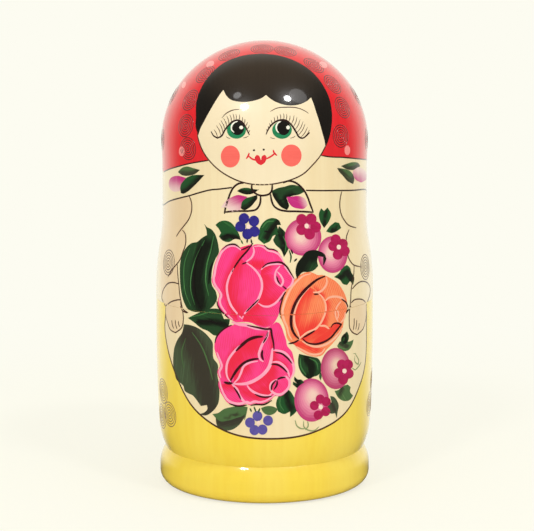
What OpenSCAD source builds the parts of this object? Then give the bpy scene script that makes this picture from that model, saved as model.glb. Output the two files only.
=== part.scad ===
// Nesting doll: nine hollow dolls, each a bottom half and a top half, and a small solid doll.
// Every piece is turned round the Z axis. The set stands on z = 0, closed, one doll inside
// the next. The sizes below are those of the outermost doll. Each smaller doll has the same
// outline, made as large as the bore round it lets it be.

/* [Outermost doll] */
// Height from the foot to the crown
outer_h = 260; // [246:1:290]
// Diameter of the belly at its widest
belly_d = 127.4; // [110:0.2:140]
// How far the waist under the head lies inside the belly
waist_in = 4.2; // [2:0.1:8]
// How far the head swells out beyond the waist
head_out = 0.4; // [0.2:0.1:4]

/* [Outline] */
// Height of the belly's widest point
belly_z = 91; // [70:1:100]
// Radius of the belly's long curve, seen from the side
belly_curve = 1200; // [600:50:3000]
// Height at which the belly turns in to the shoulder
shoulder_z = 122; // [116:1:135]
// Radius of the shoulder's outward curve
shoulder_curve = 145; // [60:5:160]
// Radius of the hollow curve from the shoulder to the waist
waist_curve = 94; // [50:2:120]
// Radius of the hollow curve from the waist to the head
nape_curve = 300; // [150:25:400]
// Distance from the axis to the centre of the head's side curve
cheek_x = 3.8; // [1:0.1:8]
// How far the crown curve's centre lies under that of the head's side
crown_drop = 3.5; // [1:0.1:8]

/* [Foot ring] */
// How far the foot ring lies inside the belly
foot_in = 1.8; // [0.5:0.1:5]
// Radius of the foot ring's lower edge
foot_edge = 7.2; // [4:0.2:13]
// Radius of the foot ring's upper edge
foot_roll = 18; // [8:0.5:20]
// Height of the groove above the foot ring
groove_z = 21.7; // [20:0.1:26]
// How deep the groove cuts in from the foot ring
groove_depth = 3.5; // [1.5:0.1:4]
// Radius of the belly's lower edge
belly_edge = 40; // [10:1:60]

/* [Joint between the halves] */
// Height of the joint line
seam_z = 110.8; // [95:0.2:120]
// Height of the bottom half's neck
neck_h = 14; // [8:0.5:20]
// Wall of the top half round its socket
socket_wall = 4.4; // [3.6:0.1:5]
// Wall of the bottom half's neck
neck_wall = 5.2; // [4.2:0.1:6]
// Bevel on each side of the joint line
seam_bevel = 0.15; // [0.1:0.05:0.6]
// Bevel on the neck's outer edge
neck_bevel = 1; // [0.4:0.1:1.6]

/* [Inside] */
// Thickness of the floor in the bottom half
floor_t = 10; // [6:0.5:12]
// Radius of the hollow's corner at the floor
floor_corner = 5; // [2:0.5:6]
// Thickness of the crown over the top half's hollow
crown_t = 10; // [7:0.5:14]

/* [Clearances, the same on every doll] */
// Radial gap between a neck and its socket
fit_gap = 0.1; // [0.05:0.01:0.15]
// Gap over the end of a neck
neck_end_gap = 0.4; // [0.2:0.1:0.8]
// Radial gap between a doll's belly and the bore round it
nest_gap = 0.5; // [0.35:0.05:0.8]
// Gap under the foot of a doll that stands inside another
stand_gap = 0.1; // [0.05:0.05:0.5]

/* [Hidden] */
$fn = 180;
fine_fn = 1440; // for the belly's long curve
lap = 2.5; // how far a slice of a section runs on inside a wider neighbour
weld = 0.005; // how far such a slice stands proud, so that it meets a tangent neighbour in a clean line
hollow_count = 9;

kerchief_red = [0.86, 0.1, 0.14];
skirt_yellow = [0.98, 0.83, 0.22];

// Outline of the outermost doll, as tangent arcs. Each centre is [radius, height].
belly_r = belly_d / 2;
waist_r = belly_r - waist_in;
head_r = waist_r + head_out;
foot_r = belly_r - foot_in;
groove_r = foot_r - groove_depth;
widest_r = max(belly_r, head_r);

function along(c, r, angle) = c + r * [cos(angle), sin(angle)];
// Radius at height z of an outward arc
function bulge_r(c, r, z) = c[0] + sqrt(r * r - pow(z - c[1], 2));

belly_c = [belly_r - belly_curve, belly_z];

// The foot ring rolls over into the groove.
roll_angle = acos((groove_r - foot_r + foot_roll) / foot_roll);
roll_z = groove_z - foot_roll * sin(roll_angle);

// The belly's lower edge starts in the groove and ends tangent to the belly's long curve.
groove_v = [groove_r, groove_z] - belly_c;
edge_reach = belly_curve - belly_edge;
edge_share = pow(edge_reach, 2) + groove_v * groove_v - pow(belly_edge, 2);
edge_open = acos(edge_share / (2 * edge_reach * norm(groove_v)));
edge_angle = atan2(groove_v[1], groove_v[0]) + edge_open;
edge_c = along(belly_c, edge_reach, edge_angle);
edge_top_z = along(belly_c, belly_curve, edge_angle)[1];

// The shoulder turns in from the long curve, then the waist's hollow curve takes over.
shoulder_angle = asin((shoulder_z - belly_z) / belly_curve);
shoulder_c = along(belly_c, belly_curve - shoulder_curve, shoulder_angle);
waist_x = waist_r + waist_curve;
waist_reach = shoulder_curve + waist_curve;
waist_c = [waist_x, shoulder_c[1] + sqrt(pow(waist_reach, 2) - pow(waist_x - shoulder_c[0], 2))];
shoulder_end_z = shoulder_c[1] + (waist_c[1] - shoulder_c[1]) * shoulder_curve / waist_reach;

// The head: a side arc that meets the crown's arc, which reaches outer_h on the axis.
cheek_curve = head_r - cheek_x;
crown_curve = cheek_curve + norm([cheek_x, crown_drop]);
crown_c = [0, outer_h - crown_curve];
cheek_c = [cheek_x, crown_c[1] + crown_drop];
cheek_end_z = cheek_c[1] + cheek_curve * (cheek_c[1] - crown_c[1]) / (crown_curve - cheek_curve);
nape_x = waist_r + nape_curve;
nape_reach = cheek_curve + nape_curve;
nape_c = [nape_x, cheek_c[1] - sqrt(pow(nape_reach, 2) - pow(nape_x - cheek_x, 2))];
nape_end_z = cheek_c[1] - (cheek_c[1] - nape_c[1]) * cheek_curve / nape_reach;

// The ladder of sizes. Doll k is size_of(k) times the outermost one, but for its clearances.
seam_share = bulge_r(belly_c, belly_curve, seam_z) / belly_r;
function doll_r(k) = k == 1 ? belly_r : (bore_r(k - 1) - nest_gap) * belly_r / widest_r;
function size_of(k) = doll_r(k) / belly_r;
function socket_r(k) = doll_r(k) * seam_share - size_of(k) * socket_wall;
function neck_r(k) = socket_r(k) - fit_gap;
function bore_r(k) = neck_r(k) - size_of(k) * neck_wall;
// Height at which doll k stands, just clear of the floor of the doll round it
function stand_z(k) = k == 1 ? 0 : stand_z(k - 1) + size_of(k - 1) * floor_t + stand_gap;

// A slice of the outline between two heights, bounded by an outward arc
module bulge(z0, z1, c, r, fn = $fn) {
  intersection() {
    translate([0, z0]) square([belly_d, z1 - z0]);
    union() {
      translate(c) circle(r, $fn = fn);
      if (c[0] > 0) translate([0, z0]) square([c[0], z1 - z0]);
    }
  }
}

// The same, bounded by an inward arc
module hollow(z0, z1, c, r) {
  difference() {
    translate([0, z0]) square([c[0], z1 - z0]);
    translate(c) circle(r);
  }
}

// A slice with an upright side, where there is room for one between its neighbours
module straight(z0, z1, r) {
  if (z1 > z0) translate([0, z0]) square([r, z1 - z0]);
}

// Half section of the outermost doll, solid
module outline() {
  bulge(0, foot_edge + lap, [foot_r - foot_edge, foot_edge], foot_edge);
  straight(foot_edge, roll_z, foot_r);
  bulge(roll_z - lap, groove_z, [foot_r - foot_roll, roll_z], foot_roll);
  bulge(groove_z - lap, edge_top_z + lap, edge_c, belly_edge + weld);
  bulge(edge_top_z, shoulder_z, belly_c, belly_curve, fine_fn);
  bulge(shoulder_z - lap, shoulder_end_z + lap, shoulder_c, shoulder_curve + weld);
  hollow(shoulder_end_z, waist_c[1], waist_c, waist_curve);
  straight(waist_c[1] - lap, nape_c[1] + lap, waist_r + weld);
  hollow(nape_c[1], nape_end_z, nape_c, nape_curve);
  bulge(nape_end_z - lap, cheek_end_z + lap, cheek_c, cheek_curve + weld);
  bulge(cheek_end_z, outer_h + lap, crown_c, crown_curve);
}

// Takes size b off the edge at [r, z] of a piece that lies above z, or below it where side is -1
module bevel(r, z, b, side) {
  polygon([[r - 2 * b, z - side * b], [r + b, z + side * 2 * b], [r + b, z - side * b]]);
}

// Half section of the bore in doll k's bottom half, from the floor to above the neck
module bottom_bore(k) {
  s = size_of(k);
  corner = s * floor_corner;
  floor_z = s * floor_t;
  bulge(floor_z, floor_z + corner + lap, [bore_r(k) - corner, floor_z + corner], corner);
  straight(floor_z + corner, s * (seam_z + neck_h) + lap, bore_r(k));
}

// Half section of the hollow in doll k's top half: socket, bore and dome
module top_hollow(k) {
  s = size_of(k);
  socket_end = s * (seam_z + neck_h) + neck_end_gap;
  dome_z = s * (outer_h - crown_t) - bore_r(k);
  straight(s * seam_z - lap, socket_end, socket_r(k));
  straight(socket_end - lap, dome_z, bore_r(k));
  bulge(dome_z - lap, dome_z + bore_r(k), [0, dome_z], bore_r(k));
}

module bottom_half(k) {
  s = size_of(k);
  neck_top = s * (seam_z + neck_h);
  color(skirt_yellow) translate([0, 0, stand_z(k)]) rotate_extrude() difference() {
    union() {
      intersection() {
        scale(s) outline();
        square([s * belly_d, s * seam_z]);
      }
      straight(s * seam_z - lap, neck_top, neck_r(k));
    }
    bottom_bore(k);
    bevel(doll_r(k) * seam_share, s * seam_z, s * seam_bevel, -1);
    bevel(neck_r(k), neck_top, s * neck_bevel, -1);
  }
}

module top_half(k) {
  s = size_of(k);
  color(kerchief_red) translate([0, 0, stand_z(k)]) rotate_extrude() difference() {
    intersection() {
      scale(s) outline();
      translate([0, s * seam_z]) square([s * belly_d, s * (outer_h - seam_z)]);
    }
    top_hollow(k);
    bevel(doll_r(k) * seam_share, s * seam_z, s * seam_bevel, 1);
  }
}

module solid_doll(k) {
  color(skirt_yellow) translate([0, 0, stand_z(k)]) rotate_extrude() scale(size_of(k)) outline();
}

for (k = [1:hollow_count]) {
  bottom_half(k);
  top_half(k);
}
solid_doll(hollow_count + 1);
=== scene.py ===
"""Looks of a painted wooden nesting doll: ten dolls, one inside the next, turned in lime wood.

Everything is in metres in the CAD frame. Paint is laid on the outermost doll from points of the
photograph's frame, and on the smaller dolls as the same drawing made smaller.
"""
import math

import bpy
import numpy as np
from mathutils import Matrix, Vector
from mathutils.geometry import delaunay_2d_cdt


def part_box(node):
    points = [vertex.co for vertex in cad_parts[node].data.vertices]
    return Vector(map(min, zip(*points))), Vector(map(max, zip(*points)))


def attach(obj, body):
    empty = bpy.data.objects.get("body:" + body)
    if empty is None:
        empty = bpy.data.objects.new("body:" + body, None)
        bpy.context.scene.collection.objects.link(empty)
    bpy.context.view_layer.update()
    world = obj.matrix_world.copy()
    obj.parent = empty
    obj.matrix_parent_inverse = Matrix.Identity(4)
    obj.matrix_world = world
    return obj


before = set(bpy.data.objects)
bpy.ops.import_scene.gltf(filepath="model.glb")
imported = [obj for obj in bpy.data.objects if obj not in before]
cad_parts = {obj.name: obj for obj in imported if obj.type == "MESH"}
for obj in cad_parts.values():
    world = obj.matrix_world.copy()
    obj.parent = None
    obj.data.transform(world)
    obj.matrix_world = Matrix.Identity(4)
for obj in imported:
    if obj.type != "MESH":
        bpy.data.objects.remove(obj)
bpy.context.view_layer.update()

MM = 0.001
SMALLEST = 10
HALVES = ("bottom", "top")

# ---------------------------------------------------------------- sizes of the outermost doll, mm
OUTER_H = 260
BELLY_R, WAIST_IN, HEAD_OUT = 63.7, 4.2, 0.4
BELLY_Z, BELLY_CURVE, BELLY_EDGE = 91, 1200, 40
SHOULDER_Z, SHOULDER_CURVE = 122, 145
WAIST_CURVE, NAPE_CURVE = 94, 300
CHEEK_X, CROWN_DROP = 3.8, 3.5
FOOT_IN, FOOT_EDGE, FOOT_ROLL = 1.8, 7.2, 18
GROOVE_Z, GROOVE_DEPTH = 21.7, 3.5
SEAM_Z = 110.8
CHART_R = 60  # radius at which the unrolled chart is true to size
ARC_STEP, UPRIGHT_STEP = 0.25, 0.5  # between the points of the outline

# ---------------------------------------------------------------- thickness of the paint, mm
COAT = 0.06  # lacquered ground over the wood
COAT_DEPTH = 0.25  # how far the ground soaks into the wood
LAYER = 0.03  # each further layer of paint
PAINT_DEPTH = 0.08  # how far a mark is sunk into what it is painted on
THIN_FILM = 0.75  # how thick all this lies on the smaller dolls, from the fourth on

# ---------------------------------------------------------------- the photograph's camera
PHOTO_W, PHOTO_H = 534, 531
FOCAL_PX = 2216
CAMERA_RISE = 0.1666  # radians above the horizon
CAMERA_AWAY = 1.3
TARGET = np.array([0.0014, 0.0, 0.1284])
AHEAD = np.array([0.0, math.cos(CAMERA_RISE), -math.sin(CAMERA_RISE)])
RIGHT = np.array([1.0, 0.0, 0.0])
UP = np.array([0.0, math.sin(CAMERA_RISE), math.cos(CAMERA_RISE)])
EYE = TARGET - CAMERA_AWAY * AHEAD
NEAREST, FARTHEST = CAMERA_AWAY - 0.1, CAMERA_AWAY + 0.05  # how far from the eye the doll can be
SEARCH_STEPS, HALVINGS = 300, 30


# ================================================================ the turned outline
def outline_runs():
    """The half section's arcs from foot to crown: rows of radius, height and outward normal, mm."""
    waist_r = BELLY_R - WAIST_IN
    head_r = waist_r + HEAD_OUT
    foot_r = BELLY_R - FOOT_IN
    groove = np.array([foot_r - GROOVE_DEPTH, GROOVE_Z])
    belly_c = np.array([BELLY_R - BELLY_CURVE, BELLY_Z])
    runs = []

    def at(centre, radius, angle):
        return np.array(centre) + radius * np.array([math.cos(angle), math.sin(angle)])

    def arc(centre, radius, start, end, side=1):
        angles = np.linspace(start, end, max(4, int(abs(end - start) * radius / ARC_STEP)))
        out = np.stack([np.cos(angles), np.sin(angles)], 1)
        runs.append(np.hstack([np.array(centre) + radius * out, side * out]))

    def upright(radius, low, high):
        heights = np.linspace(low, high, max(3, int((high - low) / UPRIGHT_STEP)))
        one = np.ones_like(heights)
        runs.append(np.stack([one * radius, heights, one, one * 0], 1))

    roll_angle = math.acos((groove[0] - foot_r + FOOT_ROLL) / FOOT_ROLL)
    roll_z = GROOVE_Z - FOOT_ROLL * math.sin(roll_angle)
    arc((foot_r - FOOT_EDGE, FOOT_EDGE), FOOT_EDGE, -math.pi / 2, 0)
    upright(foot_r, FOOT_EDGE, roll_z)
    arc((foot_r - FOOT_ROLL, roll_z), FOOT_ROLL, 0, roll_angle)

    to_groove = groove - belly_c
    reach = BELLY_CURVE - BELLY_EDGE
    far = np.hypot(*to_groove)
    opening = math.acos((reach**2 + far**2 - BELLY_EDGE**2) / (2 * reach * far))
    edge_angle = math.atan2(to_groove[1], to_groove[0]) + opening
    edge_c = at(belly_c, reach, edge_angle)
    start = math.atan2(*(groove - edge_c)[::-1])
    arc(edge_c, BELLY_EDGE, start, edge_angle)
    shoulder_angle = math.asin((SHOULDER_Z - BELLY_Z) / BELLY_CURVE)
    arc(belly_c, BELLY_CURVE, edge_angle, shoulder_angle)

    shoulder_c = at(belly_c, BELLY_CURVE - SHOULDER_CURVE, shoulder_angle)
    waist_x = waist_r + WAIST_CURVE
    waist_reach = SHOULDER_CURVE + WAIST_CURVE
    waist_z = shoulder_c[1] + math.sqrt(waist_reach**2 - (waist_x - shoulder_c[0]) ** 2)
    turn = math.atan2(waist_z - shoulder_c[1], waist_x - shoulder_c[0])
    arc(shoulder_c, SHOULDER_CURVE, shoulder_angle, turn)
    arc((waist_x, waist_z), WAIST_CURVE, math.pi + turn, math.pi, -1)

    cheek_curve = head_r - CHEEK_X
    crown_curve = cheek_curve + math.hypot(CHEEK_X, CROWN_DROP)
    cheek_c = (CHEEK_X, OUTER_H - crown_curve + CROWN_DROP)
    nape_x = waist_r + NAPE_CURVE
    nape_reach = cheek_curve + NAPE_CURVE
    nape_z = cheek_c[1] - math.sqrt(nape_reach**2 - (nape_x - CHEEK_X) ** 2)
    upright(waist_r, waist_z, nape_z)
    turn = math.atan2(cheek_c[1] - nape_z, CHEEK_X - nape_x)
    arc((nape_x, nape_z), NAPE_CURVE, math.pi, turn, -1)
    crown_angle = math.atan2(CROWN_DROP, CHEEK_X)
    arc(cheek_c, cheek_curve, turn - math.pi, crown_angle)
    arc((0, OUTER_H - crown_curve), crown_curve, crown_angle, math.pi / 2)
    return runs, crown_curve, crown_angle


RUNS, CROWN_CURVE, CROWN_ANGLE = outline_runs()
OUTLINE = np.vstack(RUNS)
GROOVE_ROW = sum(len(run) for run in RUNS[:3])
ALONG = np.concatenate([[0], np.cumsum(np.hypot(*np.diff(OUTLINE[:, :2], axis=0).T))])
ALONG += np.arange(len(ALONG)) * 1e-7  # keeps it rising where two runs meet
CROWN_TOP = ALONG[-1]


def section(along):
    """Radius, height and outward normal of the outline at these lengths along it, mm."""
    r, z, nr, nz = (np.interp(along, ALONG, OUTLINE[:, i]) for i in range(4))
    size = np.maximum(np.hypot(nr, nz), 1e-9)
    return r, z, nr / size, nz / size


def along_of_height(z):
    return float(np.interp(z, OUTLINE[:, 1], ALONG))


SEAM = along_of_height(SEAM_Z)
GROOVE = ALONG[GROOVE_ROW]


def on_doll(theta, along, lift=0.0):
    """Points of the outermost doll, mm. theta is 0 at the front and grows to the doll's left."""
    r, z, nr, nz = section(along)
    r, z = r + nr * lift, z + nz * lift
    return np.stack([r * np.sin(theta), -r * np.cos(theta), z], -1)


def normal_on_doll(theta, along):
    _, _, nr, nz = section(along)
    return np.stack([nr * np.sin(theta), -nr * np.cos(theta), nz], -1)


def chart_of_points(points):
    """Chart place of points on the outermost doll: CHART_R times the angle, and the length up."""
    x, y, z = points.T
    rho = np.hypot(x, y)
    crown_z = OUTER_H - CROWN_CURVE
    up = np.interp(z, OUTLINE[:, 1], ALONG)
    angle = np.arctan2(z - crown_z, rho)
    crown = CROWN_TOP - CROWN_CURVE * (math.pi / 2 - angle)
    up = np.where((angle > CROWN_ANGLE) & (z > crown_z), crown, up)
    return np.stack([CHART_R * np.arctan2(x, -y), up], -1)


def chart_of_photo(pixels):
    """Chart place of the doll's front where the photograph's points lie on it."""
    px = np.asarray(pixels, float).reshape(-1, 2)
    ray = (
        AHEAD
        + (px[:, :1] - PHOTO_W / 2) / FOCAL_PX * RIGHT
        + (PHOTO_H / 2 - px[:, 1:]) / FOCAL_PX * UP
    )
    eye, ray = EYE / MM, ray / MM

    def gap(t):
        p = eye + ray * t[..., None]
        z = np.clip(p[..., 2], 0, OUTER_H)
        above = np.maximum(p[..., 2] - OUTER_H, 0)
        return np.hypot(p[..., 0], p[..., 1]) - np.interp(z, OUTLINE[:, 1], OUTLINE[:, 0]) + above

    steps = np.linspace(NEAREST, FARTHEST, SEARCH_STEPS)
    gaps = np.stack([gap(np.full(len(px), t)) for t in steps], 1)
    inside = gaps < 0
    first = np.where(inside.any(1), inside.argmax(1), gaps.argmin(1))
    low, high = steps[np.maximum(first - 1, 0)], steps[first]
    for _ in range(HALVINGS):
        mid = (low + high) / 2
        hit = gap(mid) < 0
        low, high = np.where(hit, low, mid), np.where(hit, mid, high)
    return chart_of_points(eye + ray * high[:, None])


def photo_of_chart(chart):
    """The photograph's points that show these chart places."""
    p = on_doll(chart[:, 0] / CHART_R, chart[:, 1]) * MM - EYE
    depth = p @ AHEAD
    x, y = FOCAL_PX * (p @ RIGHT) / depth, FOCAL_PX * (p @ UP) / depth
    return np.stack([PHOTO_W / 2 + x, PHOTO_H / 2 - y], -1)


# ================================================================ curves
def points(*parts):
    """One line from texts of pairs, 'x,y x,y ...', and stretches of other lines."""
    return np.vstack([
        [[float(n) for n in pair.split(",")] for pair in part.split()]
        if isinstance(part, str) else part for part in parts])


def table(text):
    """Rows of text: a paint and its numbers, then a line of points after each bar. What runs on
    in the next text line is set in there."""
    rows = []
    for row in text.strip().replace("\n ", " ").split("\n"):
        head, *lines = row.split("|")
        paint, *numbers = head.split()
        rows.append((paint, *map(float, numbers), *map(points, lines)))
    return rows


def smooth(pts, closed=False, step=1.5, corner=52):
    """A smooth line through the points, with corners kept where it turns by more than corner."""
    p = np.asarray(pts, float)
    n = len(p)
    before = np.roll(p, 1, 0) if closed else np.vstack([2 * p[0] - p[1], p[:-1]])
    after = np.roll(p, -1, 0) if closed else np.vstack([p[1:], 2 * p[-1] - p[-2]])
    back, ahead = p - before, after - p

    def unit(v):
        return v / np.maximum(np.linalg.norm(v, axis=-1, keepdims=True), 1e-9)

    turn = np.degrees(np.arccos(np.clip((unit(back) * unit(ahead)).sum(1), -1, 1)))
    through = unit(unit(back) * np.linalg.norm(ahead, axis=1)[:, None]
                   + unit(ahead) * np.linalg.norm(back, axis=1)[:, None])
    sharp = (turn > corner)[:, None]
    leave, arrive = np.where(sharp, unit(ahead), through), np.where(sharp, unit(back), through)
    line = []
    for i in range(n if closed else n - 1):
        j = (i + 1) % n
        length = np.linalg.norm(p[j] - p[i])
        t = np.linspace(0, 1, max(2, int(math.ceil(length / step)) + 1))[:-1, None]
        line.append(
            (2 * t**3 - 3 * t**2 + 1) * p[i] + (t**3 - 2 * t**2 + t) * length * leave[i]
            + (3 * t**2 - 2 * t**3) * p[j] + (t**3 - t**2) * length * arrive[j]
        )
    if not closed:
        line.append(p[-1:])
    return np.vstack(line)


def ellipse(cx, cy, rx, ry, turn=0, count=16):
    a = np.linspace(0, 2 * math.pi, count, endpoint=False)
    c, s = math.cos(math.radians(turn)), math.sin(math.radians(turn))
    x, y = rx * np.cos(a), ry * np.sin(a)
    return np.stack([cx + x * c - y * s, cy + x * s + y * c], 1)


def distance_to_line(pts, line):
    best = np.full(len(pts), 1e9)
    for a, b in zip(line[:-1], line[1:]):
        d = b - a
        t = np.clip(((pts - a) @ d) / max(d @ d, 1e-9), 0, 1)
        best = np.minimum(best, np.linalg.norm(pts - a - t[:, None] * d, axis=1))
    return best


def inside(pts, loop):
    """Which points lie inside the closed loop, by the even-odd rule."""
    count = np.zeros(len(pts), int)
    for (x0, y0), (x1, y1) in zip(loop, np.roll(loop, -1, 0)):
        if y0 != y1:
            crosses = (pts[:, 1] >= min(y0, y1)) & (pts[:, 1] < max(y0, y1))
            x = x0 + (pts[:, 1] - y0) * (x1 - x0) / (y1 - y0)
            count += crosses & (x > pts[:, 0])
    return count % 2 == 1


# ================================================================ the drawing
# How finely things are made at each level of detail, the outermost doll's first
DETAIL = {
    "line": (1.3, 1.8, 2.6, 3.8),  # photo pixels between the points of a line
    "inside": (2.6, 3.2, 3.8, 4.6),  # mm between the points inside a patch
    "ground rows": (1.6, 2.0, 2.6, 3.4),  # mm between rows
    "ground columns": (180, 144, 120, 90),
    "shell rows": (2.6, 3.25, 3.9, 4.94),  # mm between rows
    "shell columns": (180, 144, 110, 84),
    "back columns": (120, 96, 72, 56),
    "rings": (5, 5, 4, 4),
    "ring steps": (40, 22, 16, 12),
    "ring line": (0.076, 0.08, 0.09, 0.1),  # share of the stamp's radius
}
DOLL_LEVEL = (0, 1, 1, 2, 2, 2, 3, 3, 3, 3)
MM_PER_PIXEL = 0.58  # on the doll's front, near enough
marks = []


def patch(group, paint, layer, outline, shade=None, grain=(1, 0), plain=3, chart=False):
    """A closed area of paint. outline is smooth through its points; chart says that they are
    chart places in mm and not points of the photograph. plain is the coarsest level with it."""
    marks.append(dict(kind="patch", group=group, paint=paint, layer=layer, outline=outline,
                      shade=shade, grain=grain, plain=plain, chart=chart))


def stroke(group, paint, layer, line, width=0.8, taper=0.25, thin=0.25, plain=3, chart=False):
    """A brush line of this width in mm. Over the share taper at both ends it narrows to thin."""
    marks.append(dict(kind="stroke", group=group, paint=paint, layer=layer, outline=line,
                      width=width, taper=taper, thin=thin, plain=plain, chart=chart))


class Buffer:
    """Marks of one group and one half, as triangles in chart places."""

    def __init__(self):
        self.place, self.lift, self.uv, self.shade = [], [], [], []
        self.faces, self.paint, self.kind = [], [], []
        self.count = 0

    def add(self, place, lift, uv, shade, faces, paint, kind):
        self.place.append(place)
        self.lift.append(lift)
        self.uv.append(uv)
        self.shade.append(shade)
        self.faces.append(faces + self.count)
        self.paint.append(np.full(len(faces), paint))
        self.kind.append(kind)
        self.count += len(place)

    def joined(self):
        return [np.concatenate(a) for a in
                (self.place, self.lift, self.uv, self.shade, self.faces, self.paint, self.kind)]


CLEAR_OF_EDGE, CLEAR_OF_CUT = 0.3, 0.2  # shares of the spacing that grid points keep clear


def triangulate(loop, spacing, cuts):
    """Triangles over the loop's inside, with points on one shared grid and edges along the cuts."""
    low, high = loop.min(0) - spacing, loop.max(0) + spacing
    row_h = spacing * math.sqrt(3) / 2
    grid = []
    for row in np.arange(math.floor(low[1] / row_h), math.ceil(high[1] / row_h) + 1):
        first = math.floor(low[0] / spacing)
        xs = (np.arange(first, math.ceil(high[0] / spacing) + 1) + 0.5 * (row % 2)) * spacing
        grid.append(np.stack([xs, np.full(len(xs), row * row_h)], 1))
    grid = np.vstack(grid)
    grid = grid[inside(grid, loop)]
    near = np.full(len(grid), 1e9)
    for chunk in np.array_split(loop, max(1, len(loop) // 60)):  # in parts, to spare memory
        if len(grid):
            near = np.minimum(near, np.linalg.norm(grid[:, None] - chunk[None], axis=2).min(1))
    grid = grid[near > spacing * CLEAR_OF_EDGE]
    verts, count = [loop], len(loop)
    edges = [(i, (i + 1) % count) for i in range(count)]
    for cut in cuts:
        grid = grid[np.abs(grid[:, 1] - cut) > spacing * CLEAR_OF_CUT]
        if low[1] < cut < high[1]:
            xs = np.arange(low[0], high[0] + spacing, spacing)
            verts.append(np.stack([xs, np.full(len(xs), cut)], 1))
            edges += [(count + i, count + i + 1) for i in range(len(xs) - 1)]
            count += len(xs)
    verts = np.vstack(verts + [grid])
    out = delaunay_2d_cdt([Vector(v) for v in verts], edges, [], 0, 1e-5, False)
    pts = np.array([v[:] for v in out[0]])
    tris = np.array([f[:] for f in out[2] if len(f) == 3], int).reshape(-1, 3)
    corners = pts[tris]
    a, b = corners[:, 1] - corners[:, 0], corners[:, 2] - corners[:, 0]
    area = a[:, 0] * b[:, 1] - a[:, 1] * b[:, 0]
    tris = np.where((area < 0)[:, None], tris[:, ::-1], tris)
    middle = corners.mean(1)
    keep = inside(middle, loop) & (np.abs(area) > 1e-7)
    return pts, tris[keep], middle[keep]


def slab(buffer, pts, tris, top_lift, depth, uv, shade, paint):
    """A closed thin slab over the triangles, into the buffer."""
    used = np.unique(tris)
    renumber = np.full(len(pts), -1)
    renumber[used] = np.arange(len(used))
    tris, n = renumber[tris], len(used)
    place = np.vstack([pts[used]] * 2)
    lift = np.concatenate([np.full(n, top_lift), np.full(n, top_lift - depth)])
    half = np.vstack([tris[:, [0, 1]], tris[:, [1, 2]], tris[:, [2, 0]]])
    key = np.sort(half, 1)
    _, index, counts = np.unique(key, axis=0, return_index=True, return_counts=True)
    rim = half[index[counts == 1]]
    a, b = rim[:, 0], rim[:, 1]
    walls = np.vstack([np.stack([b, a, a + n], 1), np.stack([b, a + n, b + n], 1)])
    faces = np.vstack([tris, tris[:, ::-1] + n, walls])
    kind = np.concatenate([np.zeros(len(tris), int), np.ones(len(tris) + len(walls), int)])
    buffer.add(place, lift, np.vstack([uv[used]] * 2), np.tile(shade[used], 2), faces, paint, kind)


def shade_of(mark, own):
    """Each point's share of the mark's second colour."""
    rule = mark.get("shade")
    if rule is None:
        return np.zeros(len(own))
    if rule[0] == "near":  # strongest at a line, gone at reach from it
        t = 1 - distance_to_line(own, smooth(rule[1], step=4)) / rule[2]
    elif rule[0] == "axis":  # 0 at the first point, 1 at the second
        a, b = np.array(rule[1], float), np.array(rule[2], float)
        t = ((own - a) @ (b - a)) / ((b - a) @ (b - a))
    else:  # round: 0 at the light spot, 1 at the ellipse's edge
        c, radii, spot = (np.array(v, float) for v in rule[1:])
        p, o = (own - c) / radii, (spot - c) / radii
        d = p - o
        size = np.maximum(np.linalg.norm(d, axis=1), 1e-6)
        d = d / size[:, None]
        along = d @ o
        t = size / (-along + np.sqrt(np.maximum(along**2 - o @ o + 1, 1e-6)))
    return np.clip(t, 0, 1)


SEAM_GAP = 0.06  # the paint stops this far from the joint line, in mm
CUTS = (SEAM - SEAM_GAP, SEAM + SEAM_GAP)


def draw_patch(mark, level, buffers, paints):
    step = DETAIL["line"][level] * (MM_PER_PIXEL if mark["chart"] else 1)
    loop = smooth(mark["outline"], True, step)
    if not mark["chart"]:
        loop = chart_of_photo(loop)
    pts, tris, middle = triangulate(loop, DETAIL["inside"][level], CUTS)
    own = pts if mark["chart"] else photo_of_chart(pts)
    g = np.array(mark["grain"], float) / np.hypot(*mark["grain"])
    uv = np.stack([own @ g, own @ np.array([-g[1], g[0]])], 1) / 10
    shade = shade_of(mark, own)
    lift = COAT + LAYER * mark["layer"]
    for half, keep in (("bottom", middle[:, 1] < CUTS[0]), ("top", middle[:, 1] > CUTS[1])):
        if keep.any():
            buffer = buffers.setdefault((mark["group"], half), Buffer())
            paint = paints[half].setdefault(mark["paint"], len(paints[half]))
            slab(buffer, pts, tris[keep], lift, PAINT_DEPTH, uv, shade, paint)


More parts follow.
